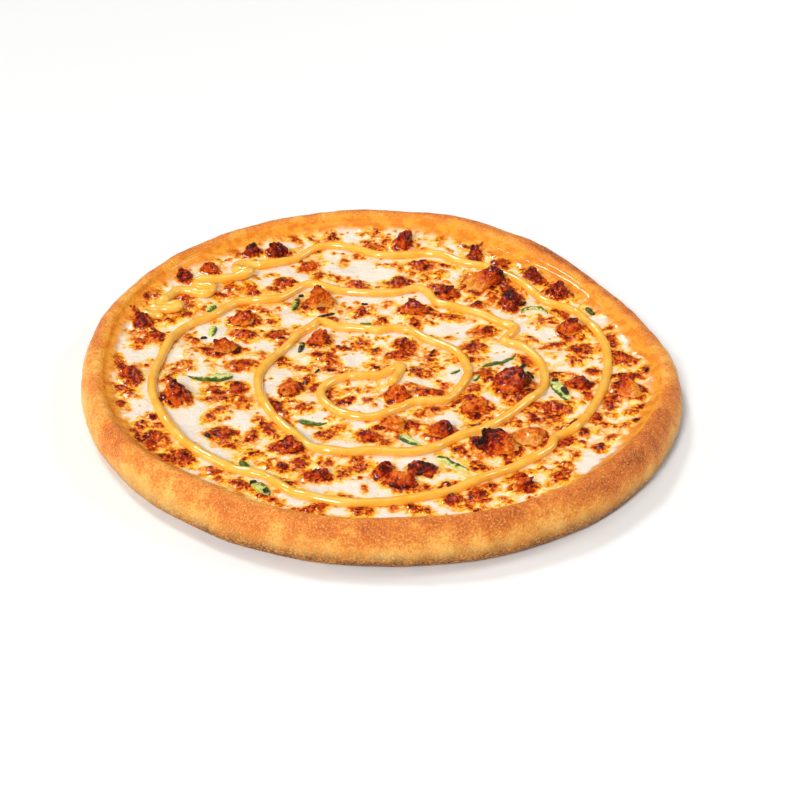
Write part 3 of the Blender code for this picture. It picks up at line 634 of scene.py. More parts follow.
class CheeseSettings(bpy.types.PropertyGroup):
    """Sizes and colours of the cheese."""

    grid: FloatProperty(
        name="Grid", description="Spacing of the cheese surface, in millimetres",
        default=0.8, min=0.6, max=4.0)
    blister_rise: FloatProperty(
        name="Blister rise", description="Height of the largest blisters, in millimetres",
        default=1.2, min=0.0, max=2.0)
    dots: IntProperty(
        name="Small blisters", description="Blisters strewn between the browned places",
        default=1700, min=0, max=4000)
    seed: IntProperty(name="Seed", description="Where small blisters fall", default=7)
    cream: FloatVectorProperty(
        name="Cream", description="Melted cheese that didn't brown", subtype="COLOR",
        default=linear(244, 224, 206))
    oil: FloatVectorProperty(
        name="Oil", description="Orange oil round the browned places", subtype="COLOR",
        default=linear(253, 178, 28))


class SauceSettings(bpy.types.PropertyGroup):
    """Sizes and colours of the sauce spiral."""

    bead: FloatProperty(
        name="Bead", description="Mean half thickness of the bead, in millimetres",
        default=2.2, min=1.0, max=4.0)
    lift: FloatProperty(
        name="Lift", description="Height of the bead's middle over the cheese, in millimetres",
        default=1.1, min=0.0, max=3.0)
    sides: IntProperty(name="Sides", description="Faces round the bead", default=18, min=8, max=32)
    colour: FloatVectorProperty(
        name="Colour", description="Thick cheese sauce", subtype="COLOR",
        default=linear(255, 178, 52))


class ToppingSettings(bpy.types.PropertyGroup):
    """Sizes and colours of chicken and pepper."""

    crag: FloatProperty(
        name="Crags", description="Depth of the crags of browned pieces, in millimetres",
        default=0.9, min=0.0, max=2.0)
    skin: FloatVectorProperty(
        name="Pepper skin", description="Green outside of a pepper slice", subtype="COLOR",
        default=linear(52, 78, 18))
    flesh: FloatVectorProperty(
        name="Pepper flesh", description="Pale inside of a pepper slice", subtype="COLOR",
        default=linear(188, 198, 58))


class StageSettings(bpy.types.PropertyGroup):
    """Camera, floor and light."""

    lens: FloatProperty(
        name="Lens", description="Focal length", default=88.996, unit="CAMERA", min=20.0)
    camera_place: FloatVectorProperty(
        name="Camera place", description="Where the camera stands", unit="LENGTH",
        subtype="TRANSLATION", default=(0.0105, -0.8233, 0.5299))
    tilt_down: FloatProperty(
        name="Tilt down", description="Angle of the camera below level", unit="ROTATION",
        default=0.58029)
    roll: FloatProperty(
        name="Roll", description="Turn of the camera about its own view", unit="ROTATION",
        default=0.0237)
    floor: FloatVectorProperty(
        name="Floor", description="Colour of the floor", subtype="COLOR",
        default=(0.90, 0.90, 0.89))
    sky: FloatProperty(
        name="Sky", description="Strength of the even light from all round", default=0.14, min=0.0)
    backdrop: FloatProperty(
        name="Backdrop", description="Brightness seen beyond the floor", default=0.80, min=0.0)


def oiled_dough(made, mottle):
    """Colour of dough that oil from the cheese ran over."""
    return made.ramp(mottle, ((0.2, linear(246, 162, 50)), (0.8, linear(236, 134, 34))))


def crust_finish(settings):
    """Baked dough: pale, golden and brown by its browning, with a dry floury grain, bright specks
    that are partly painted glints, and painted shade at its foot.
    """
    made = Finish("Baked crust")
    mottle = made.between(made.grain(11.0, 2.0), 0.35, 0.65)
    patch = made.between(made.grain(4.0, 2.0), 0.35, 0.65)
    grain = made.grain(1.2, 2.0, 0.6)
    rough = made.between(grain, 0.34, 0.66)
    specks = made.grain(0.8, 1.0, 0.5)
    browning = made.sum_of(
        (made.value("browning"), 1.0), (mottle, 0.18), (patch, 0.08), (rough, 0.18), -0.21)
    colour = made.ramp(browning, (
        (0.0, settings.pale), (0.24, linear(246, 174, 80)), (0.44, settings.golden),
        (0.62, linear(206, 108, 40)), (0.80, settings.brown), (1.0, linear(128, 54, 22))))
    # Painted shade at the foot of the crust: dark colours that keep the crust's grain
    shaded_foot = made.ramp(made.sum_of((rough, 0.7), (patch, 0.3), 0.0), (
        (0.1, linear(86, 40, 12)), (0.5, linear(136, 72, 26)), (0.9, linear(198, 134, 62))))
    colour = made.mix(made.value("foot_shade"), colour, shaded_foot)
    colour = made.mix(made.value("oil"), colour, oiled_dough(made, mottle))
    pits = made.between(specks, 0.26, 0.36, 0.35, 0.0)
    colour = made.mix(pits, colour, linear(172, 92, 40))
    # Bright specks: partly flour on the dough, partly painted glints of light
    flour_and_glints = made.between(specks, 0.55, 0.68, 0.0, 0.36)
    colour = made.mix(flour_and_glints, colour, linear(255, 214, 132))
    relief = made.bump(patch, 0.5, 0.4)
    relief = made.bump(grain, 0.9, 0.7, relief)
    return made.end(
        Base_Color=colour, Roughness=made.between(patch, 0.0, 1.0, 0.42, 0.60), Normal=relief,
        Subsurface_Weight=0.25, Subsurface_Radius=(1.0, 0.5, 0.2), Subsurface_Scale=0.003,
        Specular_IOR_Level=0.18)


def cheese_finish(settings):
    """Melted cheese: glossy cream, orange oil and browned blisters."""
    made = Finish("Browned cheese")
    broad = made.between(made.grain(5.5, 3.0, 0.6), 0.36, 0.64)
    coarse = made.between(made.grain(2.6, 3.0, 0.6), 0.36, 0.64)
    middle = made.grain(1.4, 3.0, 0.65)
    small = made.between(middle, 0.35, 0.65)
    oil = made.value("oil")
    browning = made.value("browning")
    free = made.sum_of((oil, 0.70), (browning, 0.70), 0.12)
    spread = made.sum_of((broad, 0.22), (coarse, 0.28), (small, 0.26), -0.38)
    bake = made.sum_of((oil, 0.44), (browning, 0.42), (made.times(free, spread), 1.0), 0.0)
    plain = ((0.00, linear(240, 226, 208)), (0.08, settings.cream))
    burnt = ((0.68, linear(150, 34, 5)), (0.84, linear(66, 8, 3)))
    orange = made.ramp(bake, (
        *plain, (0.17, linear(252, 212, 150)), (0.27, linear(250, 178, 84)),
        (0.36, linear(244, 144, 44)), (0.46, linear(228, 104, 20)), (0.56, linear(198, 66, 10)),
        *burnt))
    yellow = made.ramp(bake, (
        *plain, (0.16, linear(253, 222, 150)), (0.26, linear(253, 198, 76)),
        (0.36, settings.oil), (0.46, linear(236, 126, 16)), (0.56, linear(204, 74, 10)),
        *burnt))
    colour = made.mix(made.between(made.grain(8.0, 1.0), 0.40, 0.60), orange, yellow)
    colour = made.mix(made.value("dough"), colour, oiled_dough(made, broad))
    relief = made.bump(middle, 1.3, made.between(bake, 0.15, 0.5, 0.50, 1.0))
    return made.end(
        Base_Color=colour, Roughness=made.between(middle, 0.3, 0.75, 0.10, 0.24), Normal=relief,
        Subsurface_Weight=0.15, Subsurface_Radius=(1.0, 0.6, 0.3), Subsurface_Scale=0.0015,
        Specular_IOR_Level=0.06, Coat_Weight=0.50, Coat_Roughness=0.06)


def chicken_finish(name):
    """Browned meat: red-brown crags, charred tips and orange lower sides."""
    made = Finish(name)
    broad = made.between(made.grain(4.5, 2.0, 0.6), 0.36, 0.64)
    coarse = made.between(made.grain(2.4, 3.0, 0.6), 0.36, 0.64)
    middle = made.grain(1.3, 3.0, 0.65)
    small = made.between(middle, 0.35, 0.65)
    brown = made.sum_of(
        (made.value("browning"), 1.0), (broad, 0.18), (coarse, 0.25), (small, 0.24), -0.345)
    colour = made.ramp(brown, (
        (0.02, linear(255, 176, 72)), (0.16, linear(250, 142, 32)), (0.34, linear(238, 106, 16)),
        (0.51, linear(208, 66, 10)), (0.65, linear(158, 32, 6)), (0.79, linear(92, 14, 4)),
        (0.95, linear(24, 7, 4))))
    relief = made.bump(middle, 2.0, 1.0)
    return made.end(
        Base_Color=colour, Roughness=made.between(middle, 0.3, 0.7, 0.12, 0.32), Normal=relief,
        Subsurface_Weight=0.05, Subsurface_Radius=(1.0, 0.3, 0.1), Subsurface_Scale=0.001,
        Specular_IOR_Level=0.06, Coat_Weight=0.40, Coat_Roughness=0.05)


def sauce_finish(settings):
    """Thick cheese sauce: smooth, glossy and slightly see-through."""
    made = Finish("Cheese sauce")
    cloud = made.grain(7.0, 2.0)
    colour = made.mix(made.between(cloud, 0.3, 0.7), settings.colour, linear(255, 194, 80))
    relief = made.bump(made.grain(3.0, 1.0), 0.3, 0.2)
    return made.end(
        Base_Color=colour, Roughness=made.between(cloud, 0.3, 0.7, 0.16, 0.24), Normal=relief,
        Subsurface_Weight=0.3, Subsurface_Radius=(1.0, 0.6, 0.25), Subsurface_Scale=0.0015,
        Specular_IOR_Level=0.3, Coat_Weight=1.0, Coat_Roughness=0.05)


def pepper_finish(settings):
    """Cooked pepper: green skin, paler flesh and charred places."""
    made = Finish("Green pepper")
    streak = made.between(made.grain(2.6, 3.0, 0.6), 0.35, 0.65)
    skin = made.mix(streak, settings.skin, linear(98, 124, 28))
    flesh = made.mix(streak, settings.flesh, linear(222, 222, 150))
    share = made.sum_of((made.value("flesh"), 1.0), (streak, 0.2), -0.1)
    colour = made.mix(made.between(share, 0.30, 0.60), skin, flesh)
    char = made.sum_of((made.value("char"), 1.0), (streak, 0.4), -0.2)
    colour = made.mix(made.between(char, 0.45, 0.6), colour, linear(24, 14, 10))
    return made.end(
        Base_Color=colour, Roughness=0.2, Normal=made.bump(streak, 0.5, 0.6),
        Subsurface_Weight=0.08, Subsurface_Radius=(0.7, 1.0, 0.2), Subsurface_Scale=0.001,
        Specular_IOR_Level=0.4)


def build_crust(settings):
    """The rolled rim and flat base as one closed mesh, with its browning."""
    middle = smooth_row([(r, h, 0.0) for r, h in CRUST_SECTION[1:-1]], settings.section_step)
    section = [(HIDDEN_RING, BASE_THICKNESS)] + [(p.x, p.y) for p in middle]
    section += [(ring, 0.0) for ring in BASE_RINGS]
    steps = settings.turn_steps
    bearings = np.arange(steps) * 360.0 / steps
    mean = np.array([r for r, _ in section])[:, None] * np.ones(steps)
    rise = np.array([h for _, h in section])[:, None] * np.ones(steps)
    angle = bearings[None, :] * np.ones((len(section), 1))
    radius, width, height = rim_at(angle)
    inner = CRUST_RADIUS - RIM_WIDTH
    on_rim = mean > inner
    across = np.where(on_rim, (mean - inner) / RIM_WIDTH, 0.0)
    real = np.where(on_rim, radius - width * (1.0 - across), mean * (radius - width) / inner)
    lift = np.clip(rise - BASE_THICKNESS, 0.0, None) / (RIM_HEIGHT - BASE_THICKNESS)
    fade = np.minimum(across / RIM_FADE, 1.0)
    z = rise + (height - RIM_HEIGHT) * lift * fade
    turn = np.radians(angle)
    x, y = real * np.cos(turn), real * np.sin(turn)
    soft = RIM_LUMPS * noise_at(x, y, z, RIM_LUMP_SIZE) * fade * (z > 0.0)
    fine_fade = fade * ease(0.0, 3.0, z)
    for (size, depth), shift in ((RIM_DIMPLES, 5.0), (RIM_GRAIN, 9.0)):
        soft += depth * noise_at(x, y, z, size, shift) * fine_fade
    real = real + soft
    z = np.clip(z + soft * lift, 0.0, None)
    x, y = real * np.cos(turn), real * np.sin(turn)
    points = np.stack([x, y, z], axis=-1).reshape(-1, 3)

    share = z / height
    crest = ease(0.30, 0.98, share)
    outside = ease(0.30, 0.55, across)
    browning = RIM_BROWNING + CREST_BROWNING * crest * outside + SLOPE_BROWNING * (1.0 - outside)
    browning += swollen(0.0, BROWN_STRETCHES, angle) * ease(0.35, 0.95, share)
    for size, shift, amount in BROWNING_WAVES:
        browning += amount * noise_at(x, y, z, size, shift)
    browning -= EDGE_PALENESS * ease(0.12, 0.02, across) * ease(0.5, 0.7, share)
    # Painted shade at the crust's foot, strongest at the front and weakest at the left
    foot_shade = ease(0.72, 0.10, share + 0.1 * noise_at(x, y, z, 7.0, 4.0)) * ease(0.2, 0.5, across)
    foot_shade = foot_shade * np.clip(swollen(MEAN_FOOT_SHADE, FOOT_SHADE_STRETCHES, angle), 0.0, 1.0)
    oily = np.clip(swollen(MEAN_RIM_OIL, OILY_STRETCHES, angle), 0.0, 1.0)
    reach = across + 0.10 * noise_at(x, y, z, 9.0, 3.0)
    oil = (1.0 - ease(0.06 + 0.10 * oily, 0.16 + 0.34 * oily, reach)) * ease(0.4, 0.6, share)
    made = mesh_from("baked_crust", points, ring_faces(len(section), steps),
                     crust_finish(settings),
                     {"browning": browning, "oil": oil, "foot_shade": foot_shade})
    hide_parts("crust")


class CheeseSurface:
    """The cheese as a grid of heights, with its browning and oil."""

    # Half the grid's width, the rim's inner radius, and where the cheese ends on the rim
    HALF = 152.0
    INNER = CRUST_RADIUS - RIM_WIDTH
    EDGE_MEAN = 137.0
    # Sizes of the relief's waves
    WANDER_SIZE = 2.6
    SMALL_WANDER_SIZE = 1.5
    FOLD_SIZE = 6.5
    BROAD_SIZE = 14.0
    # Heights of that relief, and of the dough that shows past the edge of the cheese
    WANDER_DEPTH = 0.28
    FOLD_DEPTH = 0.55
    DOUGH_RISE = 1.2
    # The share of the rim's inner radius at which bare dough starts, and how far oil pulls it in
    DOUGH_START = 0.985
    OILY_PULL = 0.05
    # The cheese lies this much over the wall, and dips into it this far at its very edge
    WALL_COVER = 0.15
    EDGE_DIP = 3.0
    EDGE_WIDTH = 1.2
    # How softly the cheese turns up into the wall
    JOIN_SOFTNESS = 1.5

    def __init__(self, settings):
        self.step = settings.grid
        self.axis = np.arange(-self.HALF, self.HALF + self.step, self.step)
        self.x, self.y = np.meshgrid(self.axis, self.axis)
        angle = np.degrees(np.arctan2(self.y, self.x))
        radius, width, height = rim_at(angle)
        far = np.hypot(self.x, self.y)
        self.share = far / (radius - width)
        across = (far - radius + width) / width
        self.mean = np.where(across > 0.0, self.INNER + RIM_WIDTH * across, self.INNER * self.share)
        edge = radius - width + width * (self.EDGE_MEAN - self.INNER) / RIM_WIDTH
        self.to_edge = edge / np.maximum(far, 1.0)
        wall = [(r, h) for r, h in CRUST_SECTION
                if WALL_FOOT <= r <= WALL_CREST and h > CHEESE_UNDERSIDE]
        self.wall = np.interp(self.mean, [r for r, _ in wall], [h for _, h in wall])
        swell = (height - RIM_HEIGHT) * (self.wall - BASE_THICKNESS) / (RIM_HEIGHT - BASE_THICKNESS)
        self.wall += swell * np.clip(across / RIM_FADE, 0.0, 1.0)
        share = np.minimum(self.share, 1.0)
        flat = np.zeros_like(self.x)
        relief = noise_at(self.x, self.y, flat, CHEESE_RELIEF_SIZE)
        self.height = CHEESE_LEVEL + CHEESE_CLIMB * share ** 6
        self.height += CHEESE_RELIEF * relief * (1.0 - share ** 10)
        self.wander = noise_at(self.x, self.y, flat, self.WANDER_SIZE, 4.0)
        self.wander_small = noise_at(self.x, self.y, flat, self.SMALL_WANDER_SIZE, 8.0)
        self.folds = noise_at(self.x, self.y, flat, self.FOLD_SIZE, 3.0)
        self.broad = noise_at(self.x, self.y, flat, self.BROAD_SIZE, 11.0)
        self.browning, self.oil, self.white, self.bulge = (flat.copy() for _ in range(4))
        oily = np.clip(swollen(0.0, OILY_STRETCHES, angle), 0.0, 1.0)
        start = self.DOUGH_START - self.OILY_PULL * oily
        reach = self.share + 0.016 * self.folds + 0.006 * self.wander
        self.dough = ease(0.0, 1.0, (reach - start) / (0.015 + 0.035 * oily))

    def window(self, x, y, reach):
        """The part of the grid within reach of a place, as slices."""
        low_x = np.searchsorted(self.axis, x - reach)
        high_x = np.searchsorted(self.axis, x + reach)
        low_y = np.searchsorted(self.axis, y - reach)
        high_y = np.searchsorted(self.axis, y + reach)
        return slice(low_y, high_y), slice(low_x, high_x)

    def far_from(self, part, x, y, length, width, turn):
        """Distance from a place in shares of an ellipse's half sizes."""
        away_x, away_y = self.x[part] - x, self.y[part] - y
        cosine, sine = cos(radians(turn)), sin(radians(turn))
        along = (away_x * cosine + away_y * sine) / (length / 2.0)
        aside = (away_y * cosine - away_x * sine) / (width / 2.0)
        return np.hypot(along, aside)

    def raise_to(self, layer, part, values):
        """Keep the larger of a layer's own values and new ones."""
        layer[part] = np.maximum(layer[part], values)

    def blister(self, x, y, size, rise, depth, halo):
        """A small browned dome with a halo of oil."""
        part = self.window(x, y, size * 2.2 + 2.0)
        far = self.far_from(part, x, y, size * 2.0, size * 2.0, 0.0)
        far = far * (1.0 + 0.35 * self.wander[part]) + 0.3 * self.wander_small[part]
        self.raise_to(self.bulge, part, rise * np.sqrt(np.clip(1.0 - far * far, 0.0, 1.0)))
        self.raise_to(self.browning, part, depth * ease(1.25, 0.45, far))
        self.raise_to(self.oil, part, halo * ease(2.3, 0.8, far))

    def brown_place(self, x, y, length, width, turn, depth, settings, rng):
        """A browned place: a crust of many blisters inside an ellipse."""
        part = self.window(x, y, 0.5 * max(length, width) + 7.0)
        far = self.far_from(part, x, y, length, width, turn)
        gap = (far - 1.0) * 0.5 * min(length, width)
        gap += 0.9 * self.wander[part] + 0.8 * self.wander_small[part] + 1.2 * self.folds[part]
        browning, oil = (least + more * depth for least, more in (PLACE_BROWNING, PLACE_OIL))
        self.raise_to(self.browning, part, browning * ease(0.5, -0.7, gap))
        self.raise_to(self.oil, part, oil * ease(3.9, 0.0, gap))
        self.raise_to(self.bulge, part, PLACE_RISE * ease(1.0, -0.8, gap))
        cosine, sine = cos(radians(turn)), sin(radians(turn))
        for _ in range(max(int(length * width / AREA_OF_A_BLISTER), 1)):
            spin, reach = rng.uniform(0.0, 2.0 * pi), rng.uniform(0.0, 1.0) ** 0.6 * 0.95
            along = reach * cos(spin) * length / 2.0
            aside = reach * sin(spin) * width / 2.0
            size = rng.uniform(*PLACE_BLISTER_SIZES)
            self.blister(
                x + along * cosine - aside * sine, y + along * sine + aside * cosine, size,
                settings.blister_rise * rng.uniform(0.5, 1.1),
                min(depth * rng.uniform(0.55, 1.05) + 0.1, 1.0), PLACE_BLISTER_OIL)

    def settle(self):
        """Join the layers into the final heights, browning and oil."""
        free = 1.0 - 0.9 * self.dough
        self.browning *= free
        self.height += self.FOLD_DEPTH * self.folds * (1.0 - self.white * 0.3) * free
        self.height += self.bulge * free + self.DOUGH_RISE * self.dough
        dip = ease(self.EDGE_MEAN - self.EDGE_WIDTH, self.EDGE_MEAN, self.mean)
        wall = self.wall + self.WALL_COVER - self.EDGE_DIP * dip
        apart = self.height - wall
        self.height = 0.5 * (self.height + wall + np.sqrt(apart * apart + self.JOIN_SOFTNESS))
        self.height += self.browning * (0.28 * self.wander_small + 0.2 * self.wander)
        self.height += self.WANDER_DEPTH * self.wander * free

    def at(self, x, y):
        """Height of the cheese at a place, between grid points."""
        column = (x + self.HALF) / self.step
        row = (y + self.HALF) / self.step
        left, low = int(column), int(row)
        right_share, high_share = column - left, row - low
        near, far = (
            self.height[line, left] * (1 - right_share) + self.height[line, left + 1] * right_share
            for line in (low, low + 1))
        return near * (1 - high_share) + far * high_share


def blurred(layer, spread):
    """A layer smoothed over a spread given in steps of its grid."""
    reach = int(3.0 * spread)
    weights = np.exp(-0.5 * (np.arange(-reach, reach + 1) / spread) ** 2)
    weights /= weights.sum()
    for _ in range(2):
        layer = np.array([np.convolve(row, weights, mode="same") for row in layer]).T
    return layer


made_surfaces = {}


def cheese_surface():
    """The shared grid of the cheese, worked out once."""
    settings = bpy.context.scene.pizza_cheese
    if "cheese" in made_surfaces:
        return made_surfaces["cheese"]
    rng = random.Random(settings.seed)
    surface = CheeseSurface(settings)
    everywhere = (slice(None), slice(None))
    for x, y, half_length, half_width in WHITE_PLACES:
        far = surface.far_from(everywhere, x, y, 2.0 * half_length, 2.0 * half_width, 0.0)
        surface.raise_to(surface.white, everywhere, ease(1.25, 0.75, far + 0.3 * surface.folds))
    for place in BROWNED_PLACES:
        surface.brown_place(*place, settings, rng)
    near_brown = blurred(surface.browning, NEAR_BROWN_SPREAD / surface.step)
    oil = OIL_EVERYWHERE + OIL_BROAD * surface.broad + OIL_FOLDS * surface.folds
    oil = np.clip(oil + OIL_NEAR_BROWN * near_brown, 0.0, 1.0)
    oil *= 1.0 - OIL_KEPT_OFF_WHITE * surface.white
    surface.oil = np.maximum(oil, surface.oil)
    for x, y, length, width, turn in BROWNED_LUMPS:
        surface.brown_place(x, y, length + LUMP_MARGIN, width + LUMP_MARGIN, turn,
                            LUMP_PLACE_BROWNING, settings, rng)
    for x, y, length, width, height, turn, _ in CHICKEN_PIECES:
        part = surface.window(x, y, length + 6.0)
        far = surface.far_from(part, x, y, length, width, turn)
        far = far + 0.12 * surface.wander[part]
        folds = surface.folds[part]
        oil = CHICKEN_BANK_OIL * ease(1.8, 1.0, far + 0.3 * folds)
        browning = CHICKEN_BANK_BROWNING * ease(1.4, 1.0, far + 0.2 * folds)
        surface.raise_to(surface.bulge, part, CHICKEN_BANK * height * ease(1.5, 0.95, far))
        surface.raise_to(surface.oil, part, oil)
        surface.raise_to(surface.browning, part, browning)
    for _ in range(settings.dots):
        spin, reach = rng.uniform(0.0, 2.0 * pi), rng.uniform(0.0, 1.0) ** 0.5 * surface.INNER
        x, y = reach * cos(spin), reach * sin(spin)
        row = int((y + surface.HALF) / surface.step)
        column = int((x + surface.HALF) / surface.step)
        size = rng.uniform(*DOT_SIZES) * (1.0 - 0.6 * surface.white[row, column])
        depth = rng.uniform(0.0, DOT_BROWNING)
        keep = rng.random()
        if surface.share[row, column] < 0.99 and keep > 0.8 * surface.white[row, column]:
            rise = DOT_RISE * settings.blister_rise * size
            surface.blister(x, y, size, rise, depth, DOT_OIL)
    surface.settle()
    made_surfaces["cheese"] = surface
    return surface


def build_cheese(settings):
    """The cheese layer as a closed mesh over the grid, inside the rim."""
    surface = cheese_surface()
    inside = surface.mean < surface.EDGE_MEAN
    cells = inside[:-1, :-1] & inside[1:, :-1] & inside[:-1, 1:] & inside[1:, 1:]
    used = np.zeros_like(inside)
    full = np.ones_like(inside)
    for rows, columns in (((0, -1), (0, -1)), ((1, None), (0, -1)), ((0, -1), (1, None)),
                          ((1, None), (1, None))):
        used[rows[0]:rows[1], columns[0]:columns[1]] |= cells
        full[rows[0]:rows[1], columns[0]:columns[1]] &= cells
    full[0, :] = full[-1, :] = full[:, 0] = full[:, -1] = False
    border = used & ~full
    number = -np.ones(inside.shape, dtype=int)
    number[used] = np.arange(used.sum())
    x, y, z = surface.x.copy(), surface.y.copy(), surface.height.copy()
    stretch = np.where(border, surface.to_edge, 1.0)
    x, y = x * stretch, y * stretch
    top = np.stack([x[used], y[used], z[used]], axis=-1)
    low, left = np.nonzero(cells)
    faces = np.stack([number[low, left], number[low, left + 1], number[low + 1, left + 1],
                      number[low + 1, left]], axis=-1).tolist()
    form = bmesh.new()
    for spot in top:
        form.verts.new(spot)
    form.verts.ensure_lookup_table()
    for face in faces:
        form.faces.new([form.verts[k] for k in face])
    edges = [edge for edge in form.edges if edge.is_boundary]
    skirt = bmesh.ops.extrude_edge_only(form, edges=edges)["geom"]
    lower = [item for item in skirt if isinstance(item, bmesh.types.BMVert)]
    for vertex in lower:
        vertex.co = (*(vertex.co.xy * UNDERSIDE_SHARE), CHEESE_UNDERSIDE)
    bmesh.ops.holes_fill(form, edges=[e for e in form.edges if e.is_boundary])
    bmesh.ops.recalc_face_normals(form, faces=form.faces)
    form.verts.ensure_lookup_table()
    form.verts.index_update()
    points = [tuple(vertex.co) for vertex in form.verts]
    all_faces = [[vertex.index for vertex in face.verts] for face in form.faces]
    extra = len(points) - len(top)
    form.free()
    layers = (("browning", surface.browning, 0.0), ("oil", surface.oil, 0.0),
              ("dough", surface.dough, 1.0))
    values = {label: np.append(layer[used], np.full(extra, below)) for label, layer, below in layers}
    made = mesh_from("melted_cheese", points, all_faces, cheese_finish(settings), values)
    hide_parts("cheese")


def cracked(spot, size):
    """Relief of blocks of one size with cracks between them, about -0.2 to 0.2."""
    near, next_near = noise.voronoi(spot / size)[0][:2]
    return min(next_near - near, 0.4) - 0.2


def craggy_form(length, width, height, seed, lean, fineness, crag):
    """Points, faces and crests of a craggy lump, its pressed base at z = 0, in millimetres."""
    rng = random.Random(seed)
    cuts = []
    for _ in range(LUMP_CUTS):
        spin, up = rng.uniform(0.0, 2.0 * pi), rng.uniform(-0.1, 1.0)
        flat = (1.0 - up * up) ** 0.5
        side = Vector((flat * cos(spin), flat * sin(spin), up))
        cuts.append((side, rng.uniform(*LUMP_CUT_REACH)))
    form = bmesh.new()
    bmesh.ops.create_icosphere(form, subdivisions=fineness, radius=1.0)
    for vertex in form.verts:
        way = vertex.co.normalized()
        push = 1.0 + LUMP_CRAGS * noise.noise(way * LUMP_CRAG_SCALE + SEED_STEP * seed)
        squarer = max(abs(way.x), abs(way.y), abs(way.z)) ** -LUMP_SQUARING
        spot = way * push * squarer
        for side, limit in cuts:
            over = spot.dot(side) - limit
            if over > 0.0:
                spot -= LUMP_CUT_DEPTH * over * side
        tip = max(spot.z, 0.0)
        under = min(max(-spot.z, 0.0), 1.0)
        taper = 1.0 - LUMP_TAPER * tip
        rise = LUMP_SKIRT * (1.0 - under) + (1.0 - LUMP_SKIRT) * tip
        vertex.co = Vector((
            spot.x * length / 2.0 * taper + lean * tip ** 2,
            spot.y * width / 2.0 * taper,
            height * rise,
        ))
    form.normal_update()
    moves, crests = [], []
    away = Vector((seed * 13.7, seed * 5.3, 0.0))
    for vertex in form.verts:
        spot = vertex.co + away
        blocks = sum(share * cracked(spot, size) for size, share in CRAG_BLOCKS)
        along = Vector((spot.x / STRAND_LENGTH, spot.y / STRAND_WIDTH, spot.z / STRAND_WIDTH))
        ridge = 0.25 - abs(noise.noise(spot / RIDGE_SIZE))
        crest = blocks + 1.1 * noise.noise(along) + 1.4 * ridge
        crest += 0.5 * noise.noise(spot / POWDER_SIZE)
        free = min(max(vertex.co.z / (0.25 * height), 0.15), 1.0)
        moves.append(vertex.normal * crag * crest * free)
        crests.append(crest)
    for vertex, move in zip(form.verts, moves):
        vertex.co += move
    points = np.array([tuple(vertex.co) for vertex in form.verts])
    faces = [[vertex.index for vertex in face.verts] for face in form.faces]
    form.free()
    return points, faces, np.array(crests)


def laid_lump(place, height, seed, lean, fineness, crag, look, sink):
    """A craggy lump at its place on the cheese, with the browning of each point."""
    x, y, length, width, turn = place
    depth, top_more, side_bearing, side_more = look
    points, faces, crests = craggy_form(length, width, height + sink, seed, lean, fineness, crag)
    share = np.clip((points[:, 2] - sink) / height, -0.2, 1.1)
    cosine, sine = cos(radians(turn)), sin(radians(turn))
    away_x = points[:, 0] * cosine - points[:, 1] * sine
    away_y = points[:, 0] * sine + points[:, 1] * cosine
    surface = cheese_surface()
    level = surface.at(x, y)
    ground = np.array([surface.at(x + a, y + b) for a, b in zip(away_x, away_y)])
    lift = level + (ground - level) * (1.0 - ease(0.1, 0.8, share)) - sink
    laid = np.stack([x + away_x, y + away_y, points[:, 2] + lift], axis=-1)
    patches = noise_at(*laid.T, PATCH_SIZE, seed)
    facing = away_x * cos(radians(side_bearing)) + away_y * sin(radians(side_bearing))
    browning = depth - FOOT_PALENESS * (1.0 - ease(0.0, 0.5, share)) + top_more * (share - 0.5)
    browning += side_more * facing / (0.5 * width)
    browning += PATCH_BROWNING * patches + CRAG_BROWNING * crests
    return laid, faces, browning


def build_chicken(settings):
    """Every piece of browned chicken, each in its own solid's place."""
    finish = chicken_finish("Browned chicken")
    for number, (x, y, length, width, height, turn, lean) in enumerate(CHICKEN_PIECES, 1):
        points, faces, browning = laid_lump(
            (x, y, length, width, turn), height, number, lean, CHICKEN_FINENESS,
            settings.crag, CHICKEN_LOOKS[number - 1], CHICKEN_SINK)
        made = mesh_from(f"chicken_piece_{number:02d}", points, faces, finish,
                         {"browning": browning})
        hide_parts(f"chicken_{number:02d}")


def build_browned_bits(settings):
    """The small browned pieces that lie in the cheese, as one mesh."""
    bits = Heap("browning")
    for number, place in enumerate(BROWNED_LUMPS, 1):
        bits.add(*laid_lump(place, LUMP_RISE, FIRST_LUMP_SEED + number, 0.0, LUMP_FINENESS,
                            0.8 * settings.crag, LUMP_LOOK, LUMP_SINK))
    seed = 2 * FIRST_LUMP_SEED
    for x, y, length, width, turn, depth in BROWNED_PLACES:
        if depth < RAISED_BROWNING or length < RAISED_LENGTH:
            continue
        seed += 1
        bits.add(*laid_lump(
            (x, y, RAISED_SHARE * length, RAISED_SHARE * width, turn), 0.45 + 0.10 * width, seed,
            0.0, LUMP_FINENESS, 0.7 * settings.crag, (depth - 0.26, 0.1, 0, 0.0), RAISED_SINK))
    made = mesh_from("browned_bits", bits.points, bits.faces, chicken_finish("Browned bits"),
                     bits.values)
    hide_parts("cheese")


def sauce_point(angle):
    """Place of the sauce spiral's path at an angle counted along its turns."""
    steps = (angle - SAUCE_START) / SAUCE_STEP
    index = min(int(steps), len(SAUCE_RADII) - 2)
    picks = [min(max(index + k, 0), len(SAUCE_RADII) - 1) for k in (-1, 0, 1, 2)]
    radius = smooth_between(*[SAUCE_RADII[k] for k in picks], steps - index)
    for centre, spread, reach in SAUCE_KINKS:
        radius += reach * exp(-0.5 * ((angle - centre) / spread) ** 2)
    drift = min((angle - SAUCE_START) / (SAUCE_DRIFT_END - SAUCE_START), 1.0)
    middle = Vector(SAUCE_FIRST_MIDDLE) * (1.0 - drift)
    return middle + radius * Vector((cos(radians(angle)), sin(radians(angle))))


